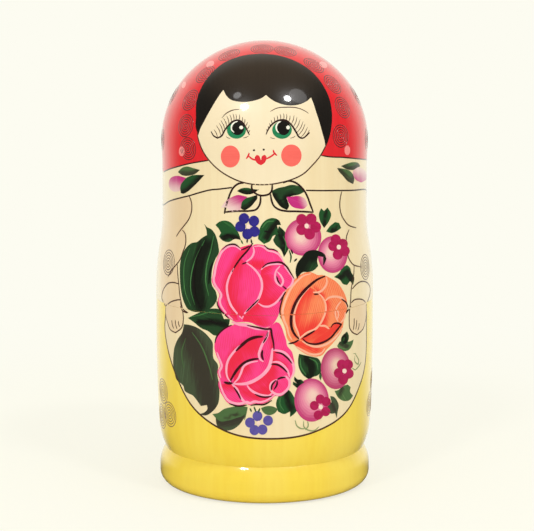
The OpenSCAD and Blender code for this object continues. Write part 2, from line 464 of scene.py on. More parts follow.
def draw_stroke(mark, level, buffers, paints):
    step = DETAIL["line"][level]
    line = smooth(mark["outline"], False, step * (MM_PER_PIXEL if mark["chart"] else 1.0))
    if not mark["chart"]:
        line = chart_of_photo(line)
    n = len(line)
    t = np.linspace(0, 1, n)
    taper = mark["taper"]
    ease = np.clip(np.minimum(t, 1 - t) / taper, 0, 1) if taper > 0 else np.ones(n)
    width = mark["width"] * (mark["thin"] + (1 - mark["thin"]) * np.sqrt(ease))
    lift = COAT + LAYER * mark["layer"]
    for half in HALVES:
        on = line[:, 1] < CUTS[0] if half == "bottom" else line[:, 1] > CUTS[1]
        cuts = np.flatnonzero(np.diff(on.astype(int))) + 1
        for run in np.split(np.arange(n), cuts):
            if len(run) < 2 or not on[run[0]]:
                continue
            place = line[run]
            scale = np.stack([section(place[:, 1])[0] / CHART_R, np.ones(len(run))], 1)
            scale = np.maximum(scale, 0.05)
            way = np.gradient(place, axis=0) * scale
            way /= np.maximum(np.linalg.norm(way, axis=1, keepdims=True), 1e-9)
            side = np.stack([-way[:, 1], way[:, 0]], 1) / scale * width[run][:, None] / 2
            m = len(run)
            pts = np.vstack([place + side, place - side])
            lifts = np.concatenate([np.full(2 * m, lift), np.full(2 * m, lift - PAINT_DEPTH)])
            i = np.arange(m - 1)
            left, right, low_left, low_right = 0, m, 2 * m, 3 * m

            def quads(a, b):
                ahead = np.stack([a + i, b + i, b + i + 1], 1)
                return [ahead, np.stack([a + i, b + i + 1, a + i + 1], 1)]

            top = quads(left, right)
            walls = quads(low_left, left) + quads(right, low_right) + quads(low_right, low_left)
            first = np.array([[left, low_left, right], [right, low_left, low_right]])
            last = (first + (m - 1))[:, ::-1]
            faces = np.vstack(top + walls + [first, last])
            kind = np.ones(len(faces), int)
            kind[: 2 * (m - 1)] = 0
            uv = np.stack([np.tile(np.arange(m) * step / 10, 4), np.zeros(4 * m)], 1)
            buffer = buffers.setdefault((mark["group"], half), Buffer())
            paint = paints[half].setdefault(mark["paint"], len(paints[half]))
            buffer.add(np.vstack([pts, pts]), lifts, uv, np.zeros(4 * m), faces, paint, kind)


def draw(level):
    """The whole drawing at one level: its buffers and, for each half, the order of its paints."""
    buffers, paints = {}, {half: {} for half in HALVES}
    for mark in marks:
        if mark["plain"] >= level:
            (draw_patch if mark["kind"] == "patch" else draw_stroke)(mark, level, buffers, paints)
    return {key: b.joined() for key, b in buffers.items()}, paints


# ================================================================ meshes
def build_mesh(name, co, faces, paint_of_face, materials, corner_normals, uv=None, shade=None):
    """A mesh object from arrays, in metres, with its own corner normals."""
    mesh = bpy.data.meshes.new(name)
    mesh.vertices.add(len(co))
    mesh.vertices.foreach_set("co", np.asarray(co, np.float32).ravel())
    mesh.loops.add(faces.size)
    mesh.loops.foreach_set("vertex_index", faces.astype(np.int32).ravel())
    mesh.polygons.add(len(faces))
    starts = np.arange(0, faces.size, faces.shape[1], dtype=np.int32)
    mesh.polygons.foreach_set("loop_start", starts)
    for material in materials:
        mesh.materials.append(material)
    mesh.polygons.foreach_set("material_index", np.asarray(paint_of_face, np.int32))
    mesh.update(calc_edges=True)
    mesh.polygons.foreach_set("use_smooth", np.ones(len(faces), bool))
    if uv is not None:
        layer = mesh.uv_layers.new(name="brush")
        layer.data.foreach_set("uv", uv[faces.ravel()].astype(np.float32).ravel())
    if shade is not None:
        layer = mesh.attributes.new("shade", "FLOAT", "POINT")
        layer.data.foreach_set("value", shade.astype(np.float32))
    mesh.normals_split_custom_set(corner_normals.reshape(-1, 3))
    obj = bpy.data.objects.new(name, mesh)
    bpy.context.scene.collection.objects.link(obj)
    return obj


def face_normals(co, faces):
    p = co[faces]
    n = np.cross(p[:, 1] - p[:, 0], p[:, 2] - p[:, 0])
    return n / np.maximum(np.linalg.norm(n, axis=1, keepdims=True), 1e-12)


class Doll:
    """Where doll k stands and how large it is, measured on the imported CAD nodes."""

    def __init__(self, k):
        self.k = k
        self.whole = k == SMALLEST
        low_node, high_node = ("doll_10",) * 2 if self.whole else (f"bottom_{k}", f"top_{k}")
        self.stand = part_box(low_node)[0].z / MM
        self.size = (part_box(high_node)[1].z / MM - self.stand) / OUTER_H
        self.level = DOLL_LEVEL[k - 1]

    def body(self, half):
        return "doll_10" if self.whole else f"{half}_{self.k}"

    def place(self, theta, along, lift):
        """Points on this doll, in metres, lift mm over its wood."""
        wood = on_doll(theta, along) * self.size
        out = normal_on_doll(theta, along)
        lift = np.asarray(lift)[..., None] * (1 if self.k < 4 else THIN_FILM)
        return (wood + out * lift + [0, 0, self.stand]) * MM

    def detail(self, kind):
        return DETAIL[kind][self.level]

    def keep(self, obj, half):
        """Gives a finished piece to this half."""
        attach(obj, self.body(half))
        return obj


def lay_paint(doll, drawing, paints, finishes):
    """Builds the drawing's groups on a doll, one object for each group and half."""
    for (group, half), parts in drawing.items():
        place, lift, uv, shade, faces, paint, kind = parts
        theta, along = place[:, 0] / CHART_R, place[:, 1]
        co = doll.place(theta, along, lift)
        corner = np.repeat(face_normals(co, faces)[:, None], 3, 1)
        top = kind == 0
        corner[top] = normal_on_doll(theta, along)[faces[top]]
        names = list(paints[half])
        used = np.unique(paint)
        renumber = np.zeros(len(names), int)
        renumber[used] = np.arange(len(used))
        materials = [finishes[names[i]] for i in used]
        obj = build_mesh(f"{group}_{half}_{doll.k}", co, faces, renumber[paint], materials,
                         corner, uv, shade)
        doll.keep(obj, half)


def skin(doll, half, name, material, theta, along, lifts, ring=True):
    """A closed thin skin on one half, between two lifts. along holds rows of lengths up, from
    the lowest row, with a column for each angle in theta. The last row may be the crown's top.
    ring says that the columns go all round."""
    pole = ring and np.allclose(along[-1], CROWN_TOP)
    up = along[:-1] if pole else along
    m, columns = up.shape
    n = m * columns
    round_it = np.broadcast_to(theta, up.shape)
    co = [doll.place(round_it, up, np.full(up.shape, lift)).reshape(-1, 3) for lift in lifts]
    out = normal_on_doll(round_it, up).reshape(-1, 3)
    normal = [out, -out]
    width = columns if ring else columns - 1
    i, j = np.arange(m - 1)[:, None] * columns, np.arange(width)[None]
    after = (j + 1) % columns
    a, b, c, d = ((i + k).ravel() for k in (j, after, columns + after, columns + j))
    tris = [np.stack([a, b, c], 1), np.stack([a, c, d], 1)]
    faces = tris + [f[:, ::-1] + n for f in tris]
    j, after, last = j.ravel(), after.ravel(), (m - 1) * columns
    if pole:
        co.append(doll.place(np.zeros(2), np.full(2, CROWN_TOP), np.array(lifts)))
        normal.append(np.array([[0, 0, 1.0], [0, 0, -1.0]]))
        faces += [np.stack([last + j, last + after, np.full(width, 2 * n)], 1),
                  np.stack([last + after + n, last + j + n, np.full(width, 2 * n + 1)], 1)]
    smooth_until = sum(len(f) for f in faces)

    def wall(first, second):
        return [np.stack([second, first, first + n], 1),
                np.stack([second, first + n, second + n], 1)]

    faces += wall(j, after)
    if not pole:
        faces += wall(last + after, last + j)
    if not ring:
        k = np.arange(m - 1) * columns
        faces += wall(k + columns, k) + wall(k + columns - 1, k + 2 * columns - 1)
    co, faces = np.vstack(co), np.vstack(faces)
    corner = np.vstack(normal)[faces]
    corner[smooth_until:] = face_normals(co, faces[smooth_until:])[:, None]
    return doll.keep(build_mesh(f"{name}_{half}_{doll.k}", co, faces, np.zeros(len(faces), int),
                                [material], corner), half)


CREASE = 0.02  # half the width of the ground's crease in the groove, and its lap at a cut


def coat(doll, half, finish):
    """The lacquered ground of one half, over the wood."""
    depth = COAT_DEPTH
    low, high = ALONG[0] + CREASE / 2, CROWN_TOP
    if doll.whole:
        depth /= 2
        low, high = (low, SEAM) if half == "bottom" else (SEAM, high)
    else:
        low, high = (low, CUTS[0] + CREASE) if half == "bottom" else (CUTS[1] - CREASE, high)
    rows = [low]
    for stop in (GROOVE - CREASE, GROOVE + CREASE, high):
        if low < stop:
            count = max(1, math.ceil((stop - rows[-1]) / doll.detail("ground rows")))
            rows += list(np.linspace(rows[-1], stop, count + 1)[1:])
    theta = np.linspace(0, 2 * math.pi, doll.detail("ground columns"), endpoint=False)
    along = np.repeat(np.array(rows)[:, None], len(theta), 1)
    return skin(doll, half, "ground", finish, theta, along, (COAT, -depth))


# ================================================================ finishes
def tint(r, g, b):
    """A colour as a picture shows it, 0 to 255, as the shader's own linear colour."""
    c = np.array([r, g, b]) / 255
    linear = np.where(c <= 0.04045, c / 12.92, ((c + 0.055) / 1.055) ** 2.4)
    return (*[float(v) for v in linear], 1.0)


def tints(*colours):
    return [tint(*colour) for colour in colours]


class Value:
    """A socket of a finish being made. Sums on it add Math nodes."""

    def __init__(self, finish, socket):
        self.finish, self.socket = finish, socket

    def _sum(self, operation, a, b=0.0):
        return self.finish.node("ShaderNodeMath", {"operation": operation}, {0: a, 1: b})

    def __add__(self, other):
        return self._sum("ADD", self, other)

    def __sub__(self, other):
        return self._sum("SUBTRACT", self, other)

    def __rsub__(self, other):
        return self._sum("SUBTRACT", other, self)

    def __mul__(self, other):
        return self._sum("MULTIPLY", self, other)

    def __truediv__(self, other):
        return self._sum("DIVIDE", self, other)

    __radd__, __rmul__ = __add__, __mul__

    def between(self, low, high):
        """0 below low, 1 above high, smooth between them."""
        return self.finish.node("ShaderNodeMapRange", {"interpolation_type": "SMOOTHSTEP"},
                                {"Value": self, "From Min": low, "From Max": high})

    def sine(self):
        return self._sum("SINE", self)


class Finish:
    """A material and its nodes."""

    def __init__(self, name, roughness=0.3, gloss=1.0):
        self.material = bpy.data.materials.new(name)
        self.material.use_nodes = True
        self.tree = self.material.node_tree
        self.shader = self.tree.nodes["Principled BSDF"]
        self.shader.inputs["Roughness"].default_value = roughness
        self.shader.inputs["Coat Weight"].default_value = gloss
        self.shader.inputs["Coat Roughness"].default_value = 0.06
        self.shader.inputs["Specular IOR Level"].default_value = 0.3

    def node(self, kind, settings=None, sockets=None, out=0):
        made = self.tree.nodes.new(kind)
        for key, value in (settings or {}).items():
            if key == "ramp":
                while len(made.color_ramp.elements) < len(value):
                    made.color_ramp.elements.new(0.5)
                for element, (at, colour) in zip(made.color_ramp.elements, value):
                    element.position, element.color = at, colour
            else:
                setattr(made, key, value)
        for key, value in (sockets or {}).items():
            if isinstance(value, Value):
                self.tree.links.new(value.socket, made.inputs[key])
            else:
                made.inputs[key].default_value = value
        return Value(self, made.outputs[out])

    def place(self, scale):
        """Object coordinates, stretched by scale."""
        where = self.node("ShaderNodeTexCoord", out="Object")
        return self.node("ShaderNodeMapping", None, {"Vector": where, "Scale": scale})

    def brush(self, scale):
        """Coordinates along and across the brush, from the piece's own UV map."""
        where = self.node("ShaderNodeUVMap", {"uv_map": "brush"})
        return self.node("ShaderNodeMapping", None, {"Vector": where, "Scale": (*scale, 1)})

    def noise(self, where, detail=3.0, rough=0.55, scale=1.0):
        return self.node("ShaderNodeTexNoise", None,
                         {"Vector": where, "Scale": scale, "Detail": detail, "Roughness": rough})

    def shade(self):
        return self.node("ShaderNodeAttribute", {"attribute_name": "shade"}, out="Fac")

    def mix(self, share, a, b):
        return self.node("ShaderNodeMix", {"data_type": "RGBA", "clamp_factor": True},
                         {0: share, 6: a, 7: b}, out=2)

    def colour(self, value):
        if isinstance(value, Value):
            self.tree.links.new(value.socket, self.shader.inputs["Base Color"])
        else:
            self.shader.inputs["Base Color"].default_value = value
        return self

    def link(self, socket, value):
        self.tree.links.new(value.socket, self.shader.inputs[socket])
        return self

    def bump(self, height, strength, distance):
        out = self.node("ShaderNodeBump", None,
                        {"Height": height, "Strength": strength, "Distance": distance})
        return self.link("Normal", out)


def wood_streaks(finish):
    """Grain of lime wood standing upright in the turned blank: long streaks and soft clouds."""
    streaks = finish.noise(finish.place((260, 260, 7)), 4.0, 0.6)
    clouds = finish.noise(finish.place((28, 28, 9)), 2.0, 0.5)
    return streaks.between(0.34, 0.7), clouds.between(0.3, 0.7)


def dyed(name, body, deep, pale, streak=0.35, cloud=0.5):
    """Lacquer over dye that lets the wood's streaks show."""
    f = Finish(name)
    body, deep, pale = tints(body, deep, pale)
    streaks, clouds = wood_streaks(f)
    ground = f.mix(clouds * cloud, body, pale)
    f.colour(f.mix(streaks * streak, ground, deep))
    f.bump(streaks, 0.05, 0.0002)
    return f.material


def plain_paint(name, body, other, streak=0.5, along=0.35, across=5.0, rise=0.12):
    """Paint laid with a brush: its second colour shows in streaks along the stroke."""
    f = Finish(name)
    body, other = tints(body, other)
    hairs = f.noise(f.brush((along, across)), 3.0, 0.6)
    share = hairs.between(0.35, 0.75)
    f.colour(f.mix(share * streak, body, other))
    f.bump(hairs, rise, 0.0002)
    return f.material


def petal(name, body, deep, pale, hatch=0.7, streak=0.7):
    """A petal: body colour worked over with its deep colour from one side, in fine hatching."""
    f = Finish(name)
    body, deep, pale = tints(body, deep, pale)
    hairs = f.noise(f.brush((0.25, 7.0)), 2.0, 0.5)
    clouds = f.noise(f.brush((0.5, 0.8)), 2.0, 0.5)
    edge = (f.shade() + (hairs - 0.5) * streak + (clouds - 0.5) * 0.3).between(0.05, 0.95)
    across = f.node("ShaderNodeSeparateXYZ", None, {0: f.brush((0.25, 1))}, out=1)
    hatching = ((across + clouds * 0.16) * 36).sine().between(0.35, 0.95)
    ground = f.mix(hairs.between(0.45, 0.8) * 0.45, body, pale)
    ground = f.mix(hatching * clouds.between(0.35, 0.6) * hatch, ground, deep)
    f.colour(f.mix(edge * 0.9, ground, deep))
    f.bump(hairs, 0.15, 0.0002)
    return f.material


def berry(name, centre, middle, edge):
    """A berry: pale at its light spot, in rings of brushwork out to a deep edge."""
    f = Finish(name)
    centre, middle, edge = tints(centre, middle, edge)
    t = f.shade()
    wobble = f.noise(f.brush((1.2, 1.2)), 2.0, 0.5)
    rings = (t * 62 + wobble * 5).sine() * 0.035 + (wobble - 0.5) * 0.1
    t = t + rings
    tone = f.mix(t.between(0.1, 0.62), centre, middle)
    f.colour(f.mix(t.between(0.5, 1.0), tone, edge))
    f.bump(rings, 0.15, 0.0004)
    return f.material


def leaf(name, body, dark, light):
    """A leaf: near-black shadow along one side and lighter green brush strokes."""
    f = Finish(name)
    body, dark, light = tints(body, dark, light)
    hairs = f.noise(f.brush((0.22, 2.4)), 3.0, 0.6)
    fine = f.noise(f.brush((0.3, 8.0)), 2.0, 0.5)
    share = (f.shade() + (hairs - 0.5) * 0.9).between(0.25, 0.75)
    ground = f.mix(share, body, dark)
    lights = (hairs + (fine - 0.5) * 0.5).between(0.56, 0.72) * (1 - f.shade().between(0.35, 0.9))
    f.colour(f.mix(lights * 0.7, ground, light))
    f.bump(hairs, 0.15, 0.0003)
    return f.material


def turned_wood():
    """Bare turned lime wood: lathe rings, upright grain and a dry sheen."""
    f = Finish("turned_lime_wood", roughness=0.55, gloss=0.0)
    streaks, clouds = wood_streaks(f)
    where = f.node("ShaderNodeTexCoord", out="Object")
    height = f.node("ShaderNodeSeparateXYZ", None, {0: where}, out=2)
    wander = f.noise(f.place((40, 40, 40)), 2.0, 0.5)
    rings = (height * 9000 + wander * 3).sine()
    ground = f.mix(clouds * 0.6, tint(236, 209, 162), tint(222, 186, 132))
    ground = f.mix(streaks * 0.4, ground, tint(196, 152, 98))
    f.colour(f.mix(rings.between(0.2, 1.0) * 0.16, ground, tint(176, 130, 80)))
    f.bump(rings + streaks * 2, 0.12, 0.0002)
    return f.material


finishes = {
    "cream": dyed("lacquered_lime_wood", (246, 226, 186), (226, 190, 132),
                  (250, 234, 200), 0.14, 0.5),
    "face": dyed("face_wood", (245, 226, 192), (238, 212, 168), (252, 238, 212), 0.1),
    "yellow": dyed("yellow_dye", (252, 221, 76), (238, 192, 44), (254, 230, 112), 0.16),
    "red": dyed("red_dye", (234, 26, 40), (208, 12, 28), (240, 44, 52), 0.3),
    "skin": dyed("hand_wood", (240, 212, 174), (222, 184, 138), (246, 222, 188), 0.15),
    "black": plain_paint("black_paint", (20, 17, 15), (34, 29, 25), 0.3, rise=0.03),
    "hair": plain_paint("hair_paint", (22, 18, 15), (34, 28, 23), 0.3, rise=0.03),
    "brown": plain_paint("brown_ink", (74, 44, 32), (108, 70, 50), 0.5),
    "dark": plain_paint("dark_ink", (52, 24, 22), (30, 12, 14), 0.5),
    "iris": plain_paint("iris_green", (34, 140, 92), (22, 104, 66), 0.6),
    "white": plain_paint("eye_white", (252, 248, 236), (240, 230, 208), 0.3),
    "cheek": plain_paint("cheek_coral", (253, 110, 102), (248, 96, 90), 0.5),
    "lips": plain_paint("lip_red", (232, 42, 56), (214, 28, 44), 0.5),
    "pink": petal("rose_pink", (254, 60, 142), (240, 26, 60), (255, 92, 160)),
    "orange": petal("rose_orange", (254, 144, 94), (244, 40, 42), (255, 176, 126)),
    "pink_line": plain_paint("rose_pink_line", (255, 160, 196), (255, 190, 212), 0.6),
    "peach_line": plain_paint("rose_peach_line", (255, 178, 150), (255, 208, 182), 0.6),
    "maroon": plain_paint("rose_shadow_line", (54, 8, 16), (92, 14, 28), 0.5),
    "leaf": leaf("leaf_green", (30, 84, 42), (22, 28, 18), (58, 120, 62)),
    "leaf_soft": leaf("leaf_soft_green", (78, 112, 66), (58, 62, 44), (112, 146, 90)),
    "leaf_night": leaf("leaf_night_green", (34, 70, 38), (18, 26, 16), (46, 98, 50)),
    # Leaves low on the skirt: their own dark green partly, washed greyer and paler by painted
    # sheen, the lacquer's glare.
    "leaf_dusk": leaf("leaf_dusk_green", (70, 84, 60), (60, 56, 46), (84, 108, 76)),
    "green_line": plain_paint("leaf_light_line", (60, 120, 64), (94, 150, 88), 0.6),
    "tendril": plain_paint("tendril_green", (152, 164, 116), (122, 142, 92), 0.6),
    "bud": petal("bud_magenta", (200, 38, 130), (248, 222, 216), (216, 70, 150), 0, 0.2),
    "berry": berry("berry_pink", (246, 208, 198), (236, 138, 172), (198, 56, 122)),
    "berry_soft": berry("berry_soft_pink", (240, 206, 188), (222, 128, 158),
                        (190, 62, 112)),
    "dab_red": plain_paint("dab_magenta", (190, 14, 92), (158, 8, 64), 0.7, 1.0, 2.0),
    "dab_blue": plain_paint("dab_blue", (48, 40, 146), (34, 26, 112), 0.7, 1.0, 2.0),
    # The lowest flower's paler blue is the blue dab paint lightened by painted sheen, the lacquer's
    # reflection of the pale floor.
    "dab_lilac": plain_paint("dab_lilac", (96, 86, 172), (78, 66, 152), 0.7, 1.0, 2.0),
    "dab_pale": plain_paint("dab_pale", (252, 226, 214), (246, 206, 202), 0.5),
    "dot_pink": plain_paint("dot_pink", (255, 150, 148), (250, 128, 130), 0.5),
    "stamp_red": plain_paint("stamp_red", (92, 2, 14), (108, 4, 18), 0.5, rise=0),
    "stamp_ochre": plain_paint("stamp_ochre", (150, 112, 46), (162, 124, 56), 0.5, rise=0),
    "stamp_brown": plain_paint("stamp_brown", (104, 72, 50), (120, 86, 62), 0.5, rise=0),
}
wood = turned_wood()
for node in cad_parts.values():
    node.data.materials.clear()
    node.data.materials.append(wood)

# ================================================================ the painting, in photo points
# ---- kerchief, its border and hem
KERCHIEF_LEFT = points("164,172 170,169 180,166 190,163.5 200,161.7 209,160.3")
KERCHIEF_RIGHT = points("321,155.5 330,156.8 342,157.3 355,158.5 368,160")
HEM_LEFT = points("232,187.5 220,189 210,190 200,192.5 190,195.5 180,198 170,201 164.5,204.5")
HEM_RIGHT = points("306,190.3 320,190.6 335,190.5 350,190.4 366,190")
TAIL_Z, HEM_TAIL_Z = 148, 128  # lowest point of the kerchief and of its border at the back

# ---- head
BROW_LINE = points(
    "196,128 196,118 197,100 203,85 212,73 224,63 240,56.5 262,54 280,56 297,62 312,72 322,84"
    " 329,98 331.8,113 331.5,125 329,138")
CHIN_LINE = points(
    "325,147 320,156 312,165.5 303,174 293,179 283,182 273,184 262,184.7 251,184 241,181.7 230,177"
    " 219,170 209,160 203,151 200,144 198,137")
FACE_OVAL = points("198.5,134", BROW_LINE, CHIN_LINE)
FACE_LINE = points("197.5,131", CHIN_LINE[::-1], "328,141")
HAIR = points(
    "198.5,135", BROW_LINE, "325.3,147.3 324.5,141 322,132 319,121 316,112 313.5,104 311,97.5"
    " 307,101 301,104 293,105.5 285,105 277,102.5 270,98.5 266,95 262,98 255,100.5 246,102"
    " 237,101.5 230,99.3 226,95 223.5,90 221,93 217,99 211,109 205,120 200,130")

# ---- eyes, each with its lid, brow, lashes and shadow lines
EYES = (
    dict(iris=(236.5, 130, 9.5, 8.7), pupil=(237.5, 127.5, 6.8, 7.6), glint=(241.3, 127.5, 2, 1.8),
         crescent="238,121.3 234.2,122.8 231.7,126 231.7,129.5 234.2,132.6",
         lid="249.5,135 246,128 243,123 238,120.3 234,121 229,125 225,130 221,136.5 217.5,138"
             " 213.5,135.5 211.3,131.5",
         brow="221.8,118 227,113 232,110.5 239.5,109.3",
         under=("226,136.5 228,137.8 230.5,138.5", "243,138 246,137.4 248.5,136"),
         tips="250,130 249.5,125 247.5,122 245,119 242.5,117 239.5,114.5 236,114 233,113.7"
              " 230,114.7 226.8,115.8 223.5,118 221,120.5 219.3,123 216.5,125.5 214,129.5",
         roots="248.5,132.5 247,129.5 245.5,126.5 244,124.2 242,122.3 239,120.6 236,120.5 234,121"
               " 231.5,122.8 229,125 227,127.5 225,130 223,133.3 221,136 217.8,137.8"),
    dict(iris=(282, 130, 9.8, 8.8), pupil=(283.5, 127.5, 6.4, 7.7), glint=(288, 127.5, 1.8, 2),
         crescent="281,121.3 278,123 276.2,126.5 276.6,130 278.8,133",
         lid="266,134.5 268.5,129 272,124.5 276,121.5 281,120 286,120.5 290,123.5 293.5,128"
             " 296.5,133 299,137 302,138.2 306,136 309.5,132.5",
         brow="270,111.7 277,108.2 286,107.3 297,108 304,110.5 308.5,113.5",
         under=("270,137.2 272,138.2 275,138.6", "290,138.2 293,137.4 295.5,136"),
         tips="266.5,129 268,126 269.5,123 271,120 274,117 277,115.5 280,114 283.5,113.5 286.5,114"
              " 290,115.5 294,115.5 297,117 300,119.5 303,121.5 305,124 307.5,127 309.5,130",
         roots="267,132 268.5,129 270,126.8 272,124.5 274.5,122.6 277.5,121 280.5,120.1 283.5,120"
               " 286,120.5 288.5,122.2 291,124.5 293,127.2 294.8,130 296.5,133 298,135.5"
               " 300.5,137.6 304,137.2"),
)
CHEEKS = ((230.4, 156.5, 9.5, 11), (291.3, 155.5, 10.2, 11))
NOSTRILS = ((254, 150.2), (263.7, 149.6))
LIPS = points("261,160.3 259.3,155.6 256.8,155 255,156.6 255.2,160 257.6,163.4 260.9,165.2"
              " 264.2,163.2 266.2,159.8 266.4,156.6 264.8,154.8 262.6,155.6")
SMILE = ("256.5,160.3 252,158.8 248.7,156", "249.2,152.8 248.2,156 246.2,158.7",
         "265.6,159.2 271,156.4 275.5,152.8", "273.2,149.8 274.2,153 277,155.6")

# ---- scarf: knot, two ends, buds
KNOT = points("252,183.6 252,189 255,193 260,195.3 265,195.3 269,194 271,192 272.3,183.8")
SCARF_END_L = points("244,183 239,183.5 234,187 230.5,193 228,200 226,206 224.5,214 225,212"
                     " 232,211.3 240,211 250,210.8 256,209.5 259,206 260.5,201 260.5,196 255,192")
SCARF_END_R = points("283,182.5 288,181 294,182 300,186 304,190.5 307.5,197 310,204 313,212"
                     " 306,211.7 296,211.3 286,211 279,209.5 274,206 272,202 270.5,194.5 273,190")
SCARF_LINES = (
    points(SCARF_END_L[:6], "224.5,213.8"),
    points("224,212.2", SCARF_END_L[8:14], "260.5,195.5"),
    points("283,183", SCARF_END_R[1:7], "313.2,212.4"),
    points("313.4,212.2", SCARF_END_R[8:14], "270.5,194"),
    KNOT,
)
# Leaves and buds of the scarf: paint, the brush's way, outline, and a bud's top and foot
SCARF_LEAVES = table("""
leaf_soft 1 0 | 178,172 182,168 187,166.5 193,168 200,170 195,174 189,175.7 182,175
leaf 1 -0.7 | 181,193 180.5,187 183,181 188,177 192,175.5 204.5,175 199,181 193,187 187,192
  183,193.7
leaf_soft 1 -0.3 | 341,166 346,164 353,162.2 358,163 360,166 356,169 350,170 345,168.5
leaf_soft 1 1 | 337,168 343,168.7 349,170.5 353,175 354,180 353,184 348,181.5 343,176 339,171.5
leaf 1 0 | 237,191 241,188.5 247,187.7 253,189 259,189.5 254,193 247,194.5 241,193
leaf 1 -0.7 | 241,208.5 240.5,204 244,199 250,197 257,195 257.5,197 254,203 249,208 244,210
leaf_night 1 -0.3 | 271.5,191 278,188 285,186.5 291,184.8 297,185.5 302,188 304,192 299,194.5
  292,196 286.5,198 288,202 289,206 287,210 281,207 276,201 273,196
""")
BUDS = table("""
bud 0 1 | 171,178 177,175.8 183,177 186,178 181,185 180,191 174,191.5 170.5,189 169,183 | 177,177
  174,194
bud 0 1 | 353,171 358,167 363,169 366.5,174 366,180 361,182.5 356,180 353,175 | 358,183 362,166
bud 1 -0.4 | 221,207.5 226,201 232,197 238,195 244,196 247.5,197 242,202 241,207 240,211 230,211
  226,207.5 | 240,196 231,213
bud 1 0.4 | 286.5,197 292,196.5 299,196 305,199 307.5,205 304,208.5 298,208.5 292,206.5 289,203 |
  297,201 308,196
""")

# ---- arms and hands
ARM_LINES = (
    "189,195.5 191,200 192,206 191.5,212 189,219 184,226 180,231 176.5,236.5",
    "182.5,230 185,233 186,239 185.5,245 183,252 180,260 177,264 172,270 168,277",
    "177.5,264 178,275 179,285 180,295 181.5,303 183,312 183.5,320 181.5,328 175.7,332.7 171,330"
    " 168,323 166,315 166,306.5",
    "179,284 174,282.5 169,283 165,287 162.5,293 162,298 164,303 166,306.5",
    "166,306 171,302 177,300 181,299.7",
    "180.7,301.5 181.5,306 184,310 188.3,312.7", "180.5,306 183,311 187.5,313",
    "172,320 172.6,325 174,328.5", "175.5,320 176,325 177.3,329", "178.5,321 178.8,324 180,327",
    "341.5,191.5 340,199 339.7,207 341,214 344,220 349,225.5 356,227.8",
    "349,229.5 346.5,236 346,244 347,252 349,259 353,264.5 361,267",
    "354,265 353.5,275 352,283 351,290 350.5,300 349.5,310 349,320 350.5,330 354,333.5 357,334.5"
    " 362,330 365,322 366,315 366,304.5",
    "352,289 356,284.5 361,281.5 366,282 369.5,286 370,292 367,303",
    "351,303 354,300 359,299 363,300 366,303.5",
    "345.5,313.5 349,309 351,306", "354,318 353.8,325 353,330", "356.5,320 356.3,325 355.5,329.5",
    "359,323 358.6,327 357.5,330.5",
)
HAND_L = points(
    "166,306.5 171,302 177,300 181,299.7 181.5,303 183,312 183.5,320 181.5,328 175.7,332.7 171,330"
                " 168,323 166,315")
HAND_R = points("351,303 354,300 359,299 363,300 366,304.5 366,315 365,322 362,330 357,334.5"
                " 354,333.5 350.5,330 349,320 349.5,310")
SLEEVE_L = points("189,195.5 191,200 192,206 191.5,212 189,219 184,226 185.5,233 186,239 185.5,245"
                  " 183,252 180,260 177.5,264 178,275 179,285 180,295 181,299.7 177,300 171,302"
                  " 166,306 163.5,302 161.8,296 161,285 160.5,270 161,250 162,230 163.5,212"
                  " 164.5,204.5 170,201 180,198")

# ---- apron
APRON_LEFT = points("166.5,303 166,312 165,326 168,349 176.5,375.8 194.7,409 228,432 272.7,438.8")
APRON_RIGHT = points("272.7,438.8 314,432 344,414 360.6,382.4 366.4,319.4 366.4,303")
APRON = np.vstack([APRON_LEFT, APRON_RIGHT[1:]])

# ---- roses: outline, inner petals and lines
ROSE_1 = points(
    "240,247.5 236,244.5 231,243.8 226,245.5 221.5,249.5 219,254 216,261 214,268 213,275 212,281"
    " 213.5,285 217,290 219.5,295 218,300 218.5,305 221,310 225,314 229,318 232,320 236,322"
    " 243,322 250,322.5 258,326 266,327.5 272,325 276,320 279,313 280,305 282,299 285,291 288,288"
    " 291,284 293,279 292.5,275 289,270 286,265 284,262 281,256 278,252 274,250 268,249 264,245.5"
    " 260,244.5 255,244.5 252,246 248,247 244,249 241,250")
ROSE_2 = points(
    "232,325.5 226,328 220,333 216,339 214.5,346 216,354 219,361 220,366 217.5,372 219.5,378"
    " 218.5,384 220,390 223,396 227,402 233,405 241,405.5 247,404 250,405 254,403.5 260,404"
    " 266,402.5 271,399.5 275,396 281,396 286,392 289,386 290,380 293,375 294.5,367 293.5,358"
    " 292,352 287,345.5 286,340 284,334 282,328 279,323 276,322 272,325 266,328.5 256,327.5"
    " 246,324.5 238,323")
ROSE_3 = points(
    "309,272 302,274 295,279 290,285 285,293 282,302 280,311 281,318 284,325 286,332 287,338"
    " 290,342 294,342.5 296,347 301,351 308,355 316,356.5 322,355 326,350 331,345 336,339 341,332"
    " 343,325 344,318 346,312 347,304 346,298 343,291 339,285 335,281 330,278 326,276 322,275"
    " 317,275 313,273")
